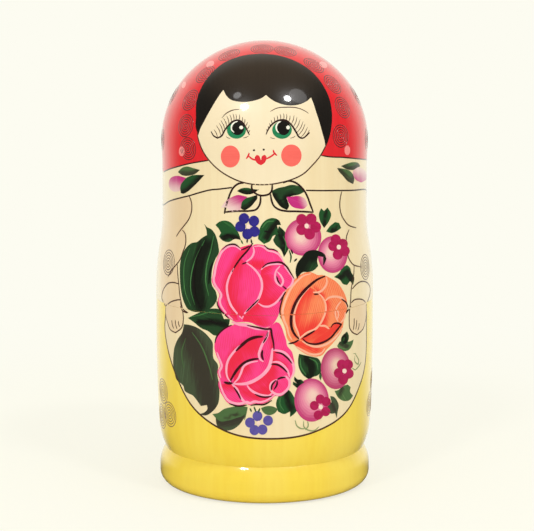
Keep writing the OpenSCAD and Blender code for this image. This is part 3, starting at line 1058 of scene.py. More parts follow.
# Inner petals: paint, layer, how far the deep colour reaches, the brush's way, outline, and the
# line where the deep colour is strongest
PETALS = table("""
pink 1 9 -0.35 1 | 240,247.5 236,244.5 231,243.8 226,245.5 221.5,249.5 219,254 216,261 214,268
  213,275 212,281 213.5,285 217,290 219.5,295 218,300 218.5,305 221,310 225,314 229,318 232,320
  238,320 236,312 231,305 228,296 227,287 229,278 232,270 236,265 241,258 248,250 252,244 | 246,250
  236,263 230,276 228,290 232,306 238,318
pink 1 8 0.3 1 | 246,262.5 251,257 254,251 253,246 258,244.5 264,245.5 268,249 275,250 281,256
  284,262 281,262.5 274,262.5 267,264 262,268 260,270 254,268 | 262,268 252,264 262,264
pink 1 11 0.9 0.5 | 262,268 267,264 274,262.5 281,262.5 286,266 290,272 293,279 291,285 287,288
  281,286 277,283 275,277 270,276 262,280 261,275 | 262,282 262,270 268,265
pink 2 19 -0.1 1 | 241,259 236,265 232,270 229,278 227,287 228,296 231,305 236,312 242,318.5
  245,313 250,308 257,301 260,295 262,287 261,279 257,272 251,266 246,262.5 | 236,266 230,278
  229,290 232,304 241,317
pink 2 21 0.75 0.8 | 262,276 262,287 260,295 258,303 263,306 268,306.5 274,304 280,298 284,291.5
  281,287 277,283 275,277 270,274 | 263,280 262,292 262,304 272,303
pink 2 20 0.6 1 | 257,301 250,308 243,318 243,321 250,321.5 258,324.5 266,326 271,323.5 275,318.5
  277.5,312 279,305 280,300 274,304 268,306.5 263,306 258,303 | 257,303 248,312 246,320 258,323
pink 1 8 0.1 1 | 232,325.5 226,328 220,333 216,339 214.5,346 216,354 219,361 220,366 218,372
  220,379 226,382 228,376 226.5,370 228,361 233,353 242,345 249,339.5 256,337 263,336.5 267,334
  270,330 256,328.5 246,325 238,323.5 | 228,374 231,358 243,346 262,338
pink 2 30 0.4 1 | 263,336.5 256,337 249,339.5 242,345 233,353 228,361 226.5,370 228,378 231,382
  232,378 237,370 244,363 252,359.5 260,358.5 261,350 264,343 | 229,380 230,364 240,350 254,341
pink 2 14 0.45 1 | 260,359 252,360 244,364 237,371 233,383.5 240,384 248,383 256,379.5 264,373.5
  269,367 271,360 272,352 268,350 264,361 | 234,382 238,373 246,366
pink 1 4 -0.2 1 | 266,331 263,343 261,350 262,359 266,360 272,352 273,343 271,332 | 270,331 273,348
pink 2 9 0.8 0.6 | 222,384 233,384 240,385 247,385 250,389 256,393 264,395.5 271,395 271,399.5
  266,402.5 260,404 254,403.5 250,405 247,404 241,404.5 233,404 227,401 223,396 220,390 | 226,384
  238,387 250,394 266,397
pink 3 12 0.75 0.8 | 248,384 256,380 264,374 269,368 272,362 278,362 284,366 288,372 289,376
  281,377.5 276,380 271,383 270.5,389 272,392.5 270,395 264,395.5 256,393 250,389 | 249,385 262,377
  271,364 270,390 256,392
pink 2 9 0.8 0.6 | 272,350 278,350.5 285,353 290,359 293.5,366 293,374 290,379 288,372 284,366
  278,362 271,363 | 272,351 273,362 284,366
pink 4 4 0.7 1 | 276,380 281,377.5 286,376.5 289,380 289,386 285,391.5 279,394.5 274,393 270.5,389
  271,383 | 271,384 272,391
orange 1 5 -0.4 1 | 309,272 302,274 295,279 290,285 285,293 282,302 280,311 281,318 284,325 286,332
  287,338 290,342 294,342 298,339 292,329 291,319 293,309 297,300 303,292 310,285 318,279 325,276
  317,275 313,273 | 296,336 292,322 294,308 304,291
orange 2 19 -0.25 1 | 309,287.5 302,295 297,304 294,314 294.5,324 298,333 299.5,338 307,332.5
  315,329 319,325 323,318 325.5,310 325,303 322,297 318,293 313,289 | 306,291 298,303 295,316
  297,330 303,334 314,328
orange 3 17 0.8 -0.5 | 300,339 307,334 315,330 320,325.5 326,327 331,327 333,324 337,323 341,324.5
  336,331 330,338 322,342.5 313,344 306,342 | 303,338 316,330 328,328 338,325 318,341
orange 1 6 0.3 1 | 313,287 319,279 326,277 333,280 339,285 343,291 346,298 341,298 334,296.5
  328,298 325,302 322,297 318,292 | 313,289 322,297
orange 2 9 0.6 1 | 325,303 328,298 334,296.5 341,298 345,302 347,308 345,312 344,318 341,322
  333,324 328,328 320,325.5 323,318 325.5,310 | 325,303 324,316 322,325
orange 1 9 0.9 0.5 | 290,342 296,346 301,350.5 308,354.5 316,356 322,354.5 326,349 331,344.5
  336,338.5 341,331.5 342,328 338,334 331,341 324,345 315,346.5 307,344 302,341 297,341 | 296,343
  306,346 316,349
""")
# Lines on the roses: paint, layer, width in mm, line
ROSE_LINES = table("""
maroon 4 1.0 | 253,243 248,250 241,258 236,265 232,272
pink_line 4 1.3 | 234,268 229,278 227,287 228,296 231,305 236,312 242,318.5
pink_line 4 1.3 | 246,262.5 251,266 257,272 261,279 262,287 260,295 257,301 250,308 245,313 242,319
maroon 5 0.9 | 259,299 252,306 246,312
maroon 5 0.8 | 242,264.2 246.8,262.2
pink_line 4 1.1 | 253,246 254,252 252,257 246,262
pink_line 4 1.1 | 261,270 263,267.5 268,265 275,264 282,264.5
maroon 5 1.0 | 262,268 267,264 274,262.5 281,262.5 286,266 290,272 294,278.5
pink_line 4 1.2 | 284,266 289,272 293,279 291,285 287,288.5
pink_line 4 1.2 | 280,266 276,271 275,277 277,283 281,286 283,282 281,276 277,271.5
maroon 5 0.8 | 276.5,276 278,281 280.5,284.8
maroon 5 0.8 | 282.5,286 286.5,289.2
pink_line 4 1.2 | 258,303 263,306 268,306.5 274,304 280,298 284,291.5
maroon 4 0.8 | 279,301.5 283,296 285.8,291.5
maroon 4 1.0 | 222,250 229,245 235,244.5 240,248
maroon 4 0.8 | 241,250 244,249 248,247 252,246
pink_line 4 1.4 | 241,250 236,246.5 231,246 226,248 222,252 219,258 216.5,265 215,273 214,281
  216,286 219.5,291 221.5,295 220,300 221,305 224,310 228,315 233,319.5
pink_line 4 1.0 | 254,246.5 260,246 264,247.5 268,250.5 274,252 278,254 281,257.5 284,263
maroon 4 0.7 | 264,245 268,248.6 274,249.6 278,251.6
maroon 4 0.9 | 217,301 218,305.5 221,310.5 225,314.5 229,318.5
pink_line 4 1.9 | 232,322 238,324 246,325 256,328 266,329 270,329.5
maroon 5 1.1 | 247,325.2 258,327.5 266,329 271,328.8 272,336 273.5,343 274,350
pink_line 5 1.4 | 269,330 267,337 263,343 260,350 259,356 261,360 263.5,361.5
maroon 5 1.0 | 268,332 266,338 263,343
maroon 6 1.2 | 262.5,350 262,356 263.5,360
maroon 5 1.7 | 263,336.5 256,337 249,339.5 242,345 236,351
pink_line 4 1.3 | 248,341.5 240,346 233,353 228,361 226.5,370 228,378 231,382
maroon 4 1.5 | 260,358.5 252,359.5 244,363 237,370 232,378 229.5,382.5
pink_line 5 1.2 | 258,361 250,362.5 244,366 241,373 238,379 234,383
pink_line 5 1.9 | 233,383.5 240,384 248,383 256,379.5 264,373.5 269,367 271,360 272,352 272.5,348
maroon 5 1.5 | 224,382 228.5,383.2 233,383
pink_line 4 1.5 | 272,350 278,350.5 285,353 290,359 293.5,366 293,374 290,379
maroon 5 1.0 | 275,352.3 281,353.3 287,357.5 292,363.5
pink_line 4 1.3 | 272,362 278,362 284,366 288,372 289.5,377
maroon 5 1.1 | 271,364 277,364.5 283,368 287.3,372.5
pink_line 5 1.4 | 276,380 281,377.5 286,376.5 289,380 289,386 285,391.5 279,394.5 274,393 270.5,389
  271,383 276,379.5
maroon 6 1.1 | 277,379.4 281,377.6 285.5,377
maroon 6 1.0 | 276,380 272,385 271,390.5
maroon 6 1.0 | 277,380 277,384 274,389.5
pink_line 5 1.4 | 247,385 250,389 256,393 264,395.5 270,395 272,392.5
maroon 6 1.0 | 255,394 260,396.2 265,397 272,396
pink_line 5 1.5 | 232,384 237,389 240,396 244,401 248,404
maroon 6 1.0 | 234,387 239,395 241,399.5
pink_line 4 1.4 | 219.5,378 221,386 224,394 228,400 234,403 241,403.5 247,402 250,403 254,401.5
  260,402 266,400.5 271,397.5 275,394.5
maroon 4 0.9 | 229,403.5 238,406 247,405
maroon 4 0.9 | 250.5,405.5 256,404.4 264,404.4 272,400.2
pink_line 4 1.3 | 217,352 220,360 222,366 219.5,372 221,378
maroon 4 0.9 | 215,343 216.5,337.5 220.5,332 226.5,327.3 232,325
maroon 5 1.7 | 325,276 318,279 310,285 303,292 297,300 293,309 291,319 292,329 296,336 299,339
peach_line 4 1.3 | 309,287.5 302,295 297,304 294,314 294.5,324 298,333 299.5,338
peach_line 4 1.3 | 318,293 322,297 325,303 325.5,310 323,318 319,325 315,329 307,332.5 301,337
  298,340
maroon 5 1.1 | 315,330.3 309,334 303,337.6
peach_line 4 1.3 | 326,277 326.5,283 324,288 319,292 313,292.3
maroon 5 0.9 | 313.5,294.2 318.5,294
peach_line 4 1.3 | 325,301 328,298 334,296.5 341,298 345,302 347,308
maroon 5 1.0 | 341,298.8 346,303 347.3,309.5 345.5,313.8
peach_line 5 1.1 | 341,301 337,306 335,312 336,318 338,322
peach_line 5 1.1 | 335.5,308.5 338,313 337.2,319.3
peach_line 4 1.2 | 340,323 344,318 345,312
maroon 5 1.2 | 330.5,327.5 333,324 337,323 341,324.5 336,331 330,338 322,342.5 313,344 306,342
  302,338
peach_line 4 1.4 | 302,341 307,344 315,346.5 324,345 331,341 338,334 342,328
peach_line 4 1.2 | 319,325.8 325,326 329,329
maroon 4 1.0 | 288.5,343.7 294,342.4 299.5,339.3
peach_line 4 1.3 | 311,273.5 303,276 297,281 291,288 287,296 284,304 282.5,312 284,320 287,327
  289,335 292,340
peach_line 4 1.2 | 296,346.5 302,350 309,353.6 316,354.5 321,353 325,348
maroon 4 0.8 | 284.5,293 281.5,302 279.8,311 281,318.5
""")
# Leaves, as the petals are, with the line of their dark side
# The greyer leaves low on the skirt use a leaf paint washed pale by painted sheen.
LEAVES = table("""
leaf_night 2 14 -0.25 1 | 204.5,224 207,227 211,229 214.5,233 217,239 218.5,246 219,252 215,260
  212.5,268 211.5,277 212,285 216,292 217,299 214,305 208,310 200,312 193,311.5 188,309 184.5,303
  182,295 180.5,285 180,275 180.5,262 183,253 187,247 192,243 197,242 202,238 207,235 206.5,230 |
  206,245 200,262 197,285 200,305
leaf 2 6 1 0.7 | 215.5,225 219,222 224,220.5 230,222 235,227 239,234 241,240 235,239 229,242
  222,240 219,236.5 221,233 219,229 | 223,238 230,236 238,239
leaf 2 6 0.6 -1 | 258,239 259,231 262,224 267,219.5 273,218 279,220.5 281,225 277,225 278,230
  279,234 273,236 270,241 264,244 | 266,238 272,228 278,222
leaf_night 2 6 0.4 1 | 279,226 285,232 288,240 289,247 287,252 284,257 281,250 275,244 273,240
  276,234 | 280,232 283,244 284,254
leaf_night 5 16 0.6 -1 | 302,257 306,252 313,250 320,251.5 325,255 325.5,260 323,265 323,257
  318,256 317,260 318,266 314,270 308,272 303,272 297,279 295.5,272 297,264 | 300,272 306,258
  318,253
leaf 2 4 0.2 1 | 319,213 321,208.3 324,211 327.5,207.5 331,214 329,221 324,228 320,221 | 326,212
  324,226
leaf 2 4 1 -0.6 | 326,231.5 330,226 335,222 339,223 341,228 337,231 332,233 | 332,231 338,227
leaf 2 6 0.6 1 | 334,277 339,273 343,267 347,265 350,268 351,272 354,277 353,285 350,281 347,285
  343,284 340,280 | 340,278 347,272 351,279
leaf_night 2 7 1 0.4 | 188,318 196,314 206,310 213,308.5 220,310 222,314 224,319 230,319 229,325
  226,331 220,335 215,335.5 208,331 201,328 195,323 | 200,322 214,322 226,324
leaf_dusk 2 22 -0.1 1 | 184,324.2 190,325 197,327.5 204,332 209,337 212.5,342 213,350 213.5,358
  218,365 217.5,374 219,384 219.5,395 218,404 213,411 205,415.5 199.5,414 205,412 207.5,409 207,405
  201,406 196,399 193,395.5 189,393.5 185,391 183.5,386 180,382.5 177,380 175,374 173.5,366
  173.5,356 175,346 178,339 182,333 | 188,335 196,350 205,380 210,408
leaf_night 2 8 0.2 1 | 299,353.8 306,355.5 313,357 318,358.5 321,364 321,371 318,375 313,377
  309,379.5 303,375 299,368 298,360 | 306,358 312,368 310,377
leaf 2 7 0.3 1 | 276,404 278,397 282,391 287,388.5 291,392 294,397 297.5,402 298,408 295,413
  290,417 290,411.5 284,414 278,411.5 | 286,392 288,402 292,410
leaf_soft 2 3 1 0.2 | 261,408 267,406 273,406.5 278,409 275,413 268,415 263,412 | 264,410 275,410
leaf_dusk 2 9 1 -0.3 | 216,415 223,413 232,412 240,413 246.5,413 243,420 238,426 231,430 223,430
  218,427 216,421 | 220,422 232,421 242,417
leaf_soft 3 4 1 -0.25 | 212.5,414 218,413 224,409 232,407 241,406 247.5,407 247,411 243,415.5
  236,418 228,420.5 220,421 216,418 | 226,418 240,413
leaf_night 5 6 1 0.6 | 298,379.5 294.5,376.5 294,379.5 297,383.5 293,381.5 292.8,384.5 297,388
  300,385 304,382.5 301,379.5 | 298,380 298,386
leaf_soft 2 5 1 0.2 | 337,346 339.5,341.5 344,341 349,341.5 353.5,339.5 352,345 348.5,350 343,351
  339,349 | 341,343 347,346
leaf_night 3 5 0.3 -1 | 341,342 341.5,337 344.5,333.5 347,331.5 348.5,335 348,340.5 345,344
  342,344.5 | 344,335 345,342
leaf_soft 2 4 0.6 1 | 334.5,391 338,390 343,386 347.5,384.5 350.5,387 350,392 353,395.5 349.5,400
  344,401 339,398.5 | 342,388 340,395
leaf_dusk 5 5 0.2 1 | 330,396 333,396.5 337,401 338.5,406 337.5,411 336.5,418 335,413 331,413.5
  327.5,412 327.5,406 329,400 331.5,403 | 331,404 334,410
leaf 5 2 0 1 | 320,371 321.5,375 320.5,380.5 319,377 | 320,372 320.4,378
""")
LEAF_LINES = table("""
green_line 0.8 | 214,236 211,250 207,265 206,282 209,296
green_line 0.7 | 205,240 197,256 192,272 191,290 195,305
green_line 0.7 | 190,248 185,262 184,278 186,294 191,306
black 1.6 | 202,246 196,262 194,280 196,298 201,308
black 1.3 | 213,262 210,272 209,284
green_line 0.6 | 190,317 200,315 211,312 221,314
black 1.0 | 196,322 208,321 222,324
black 1.2 | 224,236 229,235 234,238 238,238
black 1.2 | 264,231 270,232 274,228
green_line 0.9 | 262,228 267,222 274,221
green_line 0.6 | 283,236 286,244 285,252
green_line 0.8 | 300,358 301,367 306,375
green_line 0.7 | 309,358 316,362 318,370
green_line 0.6 | 281,396 280,404 284,411
green_line 0.6 | 344,337 343.5,341
leaf_soft 0.9 | 192,332 201,345 208,362 213,380
leaf_soft 0.7 | 186,338 182,352 184,368
black 1.2 | 321.8,254.5 325.3,258.5 323.2,265
black 0.9 | 247.5,238.5 247,243
black 0.9 | 251,239 252,244
black 1.0 | 291,249.5 292.7,254
black 1.0 | 297,258.5 294,261.5
leaf 0.9 | 289,250 291,257 290,263
leaf 0.8 | 241,240 243,244
leaf 0.9 | 250,408 251.5,412
leaf 0.9 | 254,406.5 256,412
leaf 0.9 | 260,408 258,413
leaf_soft 0.7 | 247.5,407 246,413 244.5,420
tendril 0.7 | 353,353.5 355,353.5 358.5,361 358,364.5 355,362 354.5,356
tendril 0.7 | 352,368 355,370 358,367 361,362
tendril 0.8 | 295,420 297,426 301,428.5 307,428
tendril 0.8 | 303.5,421 304,427 308,430 314,430.5 319,426.5
tendril 0.8 | 307.5,421 308,426 305,430
""")
# Berries: paint, centre, radii, light spot
BERRIES = (
    ("berry", (303, 237), (18.2, 18.6), (299, 237)),
    ("berry", (332.5, 254.5), (14.8, 18.4), (330, 252)),
    ("berry_soft", (335.5, 368.5), (14.8, 20.6), (336.5, 364)),
    ("berry", (311.5, 400), (17.2, 21.6), (313, 394)),
)
# Dab flowers: paint, petal radius in photo points, centre, petals
FLOWERS = (
    ("dab_red", 5.4, (306.5, 226), "301.5,219.5 311,219 315.5,227 309.5,234 301.5,229.5"),
    ("dab_red", 5.0, (338.5, 247), "335.5,239.5 342.5,244 344.5,251 337.5,254.5 333,246"),
    ("dab_red", 4.9, (344.2, 371), "341.5,364.5 347.8,364.5 348.5,373.5 342.8,379.5 338.5,373"),
    ("dab_red", 4.5, (320.5, 407), "320,399 326,401.5 325.5,411.5 318,415 314.2,405.5"),
    ("dab_blue", 5.2, (248.6, 226.5), "244,218.5 254,221 254.5,231.5 247.5,234 240.5,226.5"),
    # This lowest dab flower takes the paler blue, whose paleness is painted sheen.
    ("dab_lilac", 4.9, (258.6, 423), "257.5,416 268,420.5 262.5,429.5 254.5,430 250,422.5"),
)

SCARF_LEAF_SHADE = 9  # how far a scarf leaf's dark side reaches, in photo points
FINE_LINE, BROAD_BLACK = 1.25, 1.15  # widths in mm, for the rose lines and the leaf lines
# Pink dots: centre, radii, turn in degrees
PINK_DOTS = ((210.3, 64.2, 4.4, 2.7, -32), (181.8, 151.3, 2.8, 5, 0), (323.2, 65, 4.4, 2.7, 32),
             (347.2, 150.3, 2.8, 5, 0), (184, 85, 1.8, 3.6, 20))
DOTS_BEHIND = ((93, 216), (-93, 216), (115, 215), (-115, 215), (137, 217), (-137, 217),
               (161, 213), (-161, 213))

# ================================================================ drawing the marks
def back_to_chart(*stops):
    """Chart places from (degrees round from the front, height in mm)."""
    return np.array([[CHART_R * math.radians(a), along_of_height(z)] for a, z in stops])


TURN = 2 * math.pi * CHART_R
# Lower edges of the kerchief and of its pale border: left and right in front, and behind
KERCHIEF = (
    chart_of_photo(KERCHIEF_LEFT), chart_of_photo(KERCHIEF_RIGHT),
    back_to_chart((105, 188), (125, 178), (150, 163), (180, TAIL_Z), (210, 163), (235, 177),
                  (252, 186)))
HEM = (
    chart_of_photo(HEM_LEFT), chart_of_photo(HEM_RIGHT),
    back_to_chart((112, 162), (135, 150), (158, 138), (180, HEM_TAIL_Z), (202, 138), (225, 151),
                  (246, 163)))


def draw_head():
    patch("face", "face", 2, FACE_OVAL, grain=(0, 1))
    patch("hair", "hair", 3, HAIR, grain=(0, 1))
    stroke("face", "brown", 3, FACE_LINE, 0.75, taper=0.06)
    for x, y, rx, ry in CHEEKS:
        patch("cheeks", "cheek", 3, ellipse(x, y, rx, ry))
    patch("lips", "lips", 3, LIPS)
    for line in SMILE:
        stroke("lips", "lips", 3, points(line), 0.95, taper=0.3, thin=0.4)
    for x, y in NOSTRILS:
        patch("lips", "dark", 3, ellipse(x, y, 1.15, 1.05, count=8), plain=2)
    for eye in EYES:
        patch("eyes", "iris", 3, ellipse(*eye["iris"]))
        patch("eyes", "black", 4, ellipse(*eye["pupil"]))
        stroke("eyes", "white", 5, points(eye["crescent"]), 0.95, taper=0.45, thin=0.2)
        patch("eyes", "white", 5, ellipse(*eye["glint"], count=10))
        stroke("eyes", "dark", 5, points(eye["lid"]), 0.95, taper=0.3, thin=0.45)
        stroke("eyes", "brown", 3, points(eye["brow"]), 0.6, taper=0.4, thin=0.3)
        for line in eye["under"]:
            stroke("eyes", "brown", 4, points(line), 0.35, taper=0.5, plain=1)
        for root, tip in zip(points(eye["roots"]), points(eye["tips"])):
            middle = (root + tip) / 2 + np.array([(root - tip)[1], (tip - root)[0]]) * 0.07
            stroke("lashes", "brown", 4, np.stack([root, middle, tip]), 0.5, taper=0.9, thin=0.2,
                   plain=2)


def draw_scarf():
    left, right, behind = HEM
    stroke("scarf", "dark", 2, np.vstack([right, behind, left[::-1] + [TURN, 0]]), 0.8, taper=0,
           chart=True)
    for line in KERCHIEF[:2]:
        stroke("scarf", "dark", 3, line, 0.7, taper=0.05, chart=True)
    for layer, outline in ((2, SCARF_END_L), (2, SCARF_END_R), (3, KNOT)):
        patch("scarf", "cream", layer, outline, plain=2)
    for line in SCARF_LINES:
        stroke("scarf", "dark", 4, line, 1.05, taper=0.12, thin=0.5)
    for paint, *way, outline in SCARF_LEAVES:
        side = outline[len(outline) // 2:]
        patch("scarf_leaves", paint, 3, outline, grain=way, shade=("near", side, SCARF_LEAF_SHADE),
              plain=2)
    for paint, *way, outline, ends in BUDS:
        patch("scarf_leaves", paint, 4, outline, grain=way, shade=("axis", *ends), plain=2)


def draw_arms():
    patch("sleeves", "skin", 1, SLEEVE_L, grain=(0, 1), plain=1)
    patch("hands", "skin", 3, HAND_L, grain=(0, 1), plain=2)
    patch("hands", "skin", 3, HAND_R, grain=(0, 1), plain=2)
    for line in ARM_LINES:
        stroke("hands", "brown", 4, points(line), 0.7, taper=0.12, thin=0.5)


def draw_apron():
    stroke("apron", "brown", 2, APRON, 1.05, taper=0.03)
    edge = chart_of_photo(smooth(APRON, step=3))
    high = SEAM + 0.1
    loop = np.vstack([[edge[0][0], high], edge[edge[:, 1] < SEAM - 1], [edge[-1][0], high]])
    patch("apron", "cream", 1, loop, grain=(0, 1), chart=True)


def draw_dots():
    """Pink dots between the stamps of the kerchief."""
    for x, y, long, short, turn in PINK_DOTS:
        patch("dots", "dot_pink", 2, ellipse(x, y, long, short, turn, 10), plain=2)
    for x, y in back_to_chart(*DOTS_BEHIND):
        patch("dots", "dot_pink", 2, ellipse(x, y, 2.0, 2.9, count=10), chart=True, plain=2)


def draw_flowers():
    for outline, paint in ((ROSE_1, "pink"), (ROSE_2, "pink"), (ROSE_3, "orange")):
        patch("roses", paint, 4, outline, grain=(0.2, 1))
    for paint, layer, reach, *way, outline, line in PETALS:
        patch("roses", paint, 4 + layer, outline, grain=way, shade=("near", line, reach), plain=2)
    for paint, layer, width, line in ROSE_LINES:
        stroke("roses", paint, 4 + layer, line, width, taper=0.3, thin=0.3,
               plain=3 if width > FINE_LINE else 2)
    for paint, layer, reach, *way, outline, dark in LEAVES:
        patch("leaves", paint, layer, outline, grain=way, shade=("near", dark, reach))
    for paint, width, line in LEAF_LINES:
        over = paint == "black" and width > BROAD_BLACK  # a broad black stroke lies over all
        stroke("leaves", paint, 7 if over else 5, line, width, taper=0.45, plain=2)
    for paint, centre, radii, spot in BERRIES:
        patch("berries", paint, 4, ellipse(*centre, *radii, count=20), grain=(0, 1),
              shade=("round", centre, radii, spot))
    for paint, radius, centre, petals in FLOWERS:
        for i, (x, y) in enumerate(points(petals)):
            patch("berries", paint, 5 + i % 2, ellipse(x, y, radius, radius * 1.04, count=12),
                  grain=(x - centre[0] + 0.1, y - centre[1]))
        patch("berries", "dab_pale", 7, ellipse(*centre, 2.1, 2.4, count=9), plain=2)


draw_head()
draw_scarf()
draw_arms()
draw_apron()
draw_dots()
draw_flowers()


def shell(doll, name, paint, low, high, theta=None):
    """A dyed shell on the top half, from low to high, which give the length up at any angle.
    theta runs all round, or over an open stretch."""
    ring = theta is None
    if ring:
        theta = np.linspace(-math.pi, math.pi, doll.detail("shell columns"), endpoint=False)
    low, high = low(theta), high(theta)
    rows = max(2, int((high - low).max() / doll.detail("shell rows")))
    along = low + (high - low) * np.linspace(0, 1, rows + 1)[:, None]
    lift = COAT + LAYER
    skin(doll, "top", name, finishes[paint], theta, along, (lift, lift - PAINT_DEPTH), ring)


def line_round(places):
    """A line round the doll, from chart places: gives the length up at any angle."""
    angle = (places[:, 0] / CHART_R + math.pi) % (2 * math.pi) - math.pi
    order = np.argsort(angle)
    angle, up = angle[order], places[order, 1]
    angle = np.concatenate([angle - 2 * math.pi, angle, angle + 2 * math.pi])
    up = np.tile(up, 3)
    return lambda theta: np.interp(theta, angle, up)


kerchief_edge, hem = line_round(np.vstack(KERCHIEF)), line_round(np.vstack(HEM))
SLEEVE_BACK = (82, 118)  # degrees from the front to the sleeve's back edge, low and high
SLEEVE_RISE, SLEEVE_BULGE = 48, 0.6  # how high that edge runs in mm, and how round it is


def dress_top(doll):
    """What goes all round a top half: the kerchief and, at the back, the dress's yellow."""
    shell(doll, "kerchief", "red", kerchief_edge, lambda t: np.full_like(t, CROWN_TOP))
    low_angle, high_angle = (math.radians(a) for a in SLEEVE_BACK)
    theta = np.linspace(low_angle, 2 * math.pi - low_angle, doll.detail("back columns"))
    from_edge = np.minimum(theta - low_angle, 2 * math.pi - low_angle - theta)
    share = np.clip(from_edge / (high_angle - low_angle), 0, 1)
    sleeve = SEAM + 1 + SLEEVE_RISE * share ** SLEEVE_BULGE
    shell(doll, "dress_back", "yellow", lambda t: np.full_like(t, CUTS[1]),
          lambda t: np.minimum(sleeve, hem(t)), theta)


# ================================================================ ring stamps
TREFOIL = ((0, 61), (6.4, 48.5), (-6.4, 48.5))  # three stamps: degrees round, and height in mm
# Prints of a ringed stamp: paint, half, layer, radius in mm, places in the photograph,
# and places as degrees round from the front and height in mm
STAMPS = (
    ("stamp_red", "top", 2, 6.6,
     "262,48.5 229,54.6 285.5,50.8 314,65 205,74 190,99.8 185.4,125.5 187.7,148.7 333,84"
     " 342.8,107.3 341,136",
     tuple((side * angle, height) for side in (1, -1) for angle, height in (
         (82, 229), (80, 204), (104, 236), (107, 212), (125, 226), (128, 198), (147, 238),
         (150, 212), (150, 184))) + ((172, 228), (174, 199), (180, 170), (-172, 214))),
    ("stamp_brown", "top", 2, 7.6, "168.3,262.5 365.5,267", ()),
    ("stamp_ochre", "bottom", 2, 7.6, "163,391 169.7,414.3 162.2,416",
     tuple((centre + step, height) for centre in (-128, 180, 128, 84)
           for step, height in TREFOIL)),
)


class Growth(Finish):
    """A Geometry Nodes tree with named inputs."""

    def __init__(self, name, inputs):
        self.tree = bpy.data.node_groups.new(name, "GeometryNodeTree")
        add = self.tree.interface.new_socket
        add("Geometry", in_out="OUTPUT", socket_type="NodeSocketGeometry")
        self.inputs = {label: add(label, in_out="INPUT", socket_type=f"NodeSocket{kind}").identifier
                       for label, kind in inputs}

    def given(self, label):
        return self.node("NodeGroupInput", out=label)

    def result(self, geometry):
        end = self.tree.nodes.new("NodeGroupOutput")
        self.tree.links.new(geometry.socket, end.inputs["Geometry"])


PRESS_REACH = 0.01  # how far out a stamp looks for the ground under it, in metres


def ring_stamp():
    """Rings on each point, pressed on to the ground under it. A point has 'out' and 'size'."""
    g = Growth("ring_stamp", (("Geometry", "Geometry"), ("Ground", "Object"), ("Rings", "Int"),
                              ("Steps", "Int"), ("Line width", "Float"), ("Depth", "Float"),
                              ("Lift", "Float"), ("Paint", "Material")))
    instance, vector = "GeometryNodeInstanceOnPoints", "ShaderNodeVectorMath"
    realize, named = "GeometryNodeRealizeInstances", "GeometryNodeInputNamedAttribute"
    index = g.node("GeometryNodeInputIndex")
    seats = g.node("GeometryNodeMeshLine", None, {"Count": g.given("Rings"), "Offset": (0, 0, 0)})
    circle = g.node("GeometryNodeCurvePrimitiveCircle", None,
                    {"Resolution": g.given("Steps"), "Radius": 1.0})
    rings = g.node(instance, None, {"Points": seats, "Instance": circle,
                                    "Scale": (index + 0.75) / g.given("Rings")})
    section_of_line = g.node("GeometryNodeCurvePrimitiveQuadrilateral", None,
                             {"Width": g.given("Line width"), "Height": g.given("Depth")})
    stamp = g.node("GeometryNodeCurveToMesh", None,
                   {"Curve": g.node(realize, None, {"Geometry": rings}),
                    "Profile Curve": section_of_line})
    height = g.node("ShaderNodeSeparateXYZ", None, {0: g.node("GeometryNodeInputPosition")}, out=2)
    stamp = g.node("GeometryNodeStoreNamedAttribute", None,
                   {"Geometry": stamp, "Name": "height", "Value": height})
    out = g.node(named, {"data_type": "FLOAT_VECTOR"}, {"Name": "out"})
    size = g.node(named, {"data_type": "FLOAT_VECTOR"}, {"Name": "size"})
    facing = g.node("FunctionNodeAlignRotationToVector", {"axis": "Z"}, {"Vector": out})
    prints = g.node(instance, None, {"Points": g.given("Geometry"), "Instance": stamp,
                                     "Rotation": facing, "Scale": size})
    prints = g.node(realize, None, {"Geometry": prints})
    ground = g.node("GeometryNodeObjectInfo", None, {"Object": g.given("Ground")}, out="Geometry")
    here = g.node("GeometryNodeInputPosition")
    above = g.node(vector, {"operation": "MULTIPLY_ADD"}, {0: out, 1: (PRESS_REACH,) * 3, 2: here})
    down = g.node(vector, {"operation": "SCALE"}, {0: out, "Scale": -1.0})
    hit = g.node("GeometryNodeRaycast", None,
                 {"Target Geometry": ground, "Source Position": above, "Ray Direction": down,
                  "Ray Length": 3 * PRESS_REACH}, out="Hit Position")
    own = g.node(named, {"data_type": "FLOAT"}, {"Name": "height"})
    raised = g.node(vector, {"operation": "SCALE"}, {0: out, "Scale": own + g.given("Lift")})
    place = g.node(vector, {"operation": "ADD"}, {0: hit, 1: raised})
    laid = g.node("GeometryNodeSetPosition", None, {"Geometry": prints, "Position": place})
    g.result(g.node("GeometryNodeSetMaterial", None,
                    {"Geometry": laid, "Material": g.given("Paint")}))
    return g


RING_STAMP = ring_stamp()


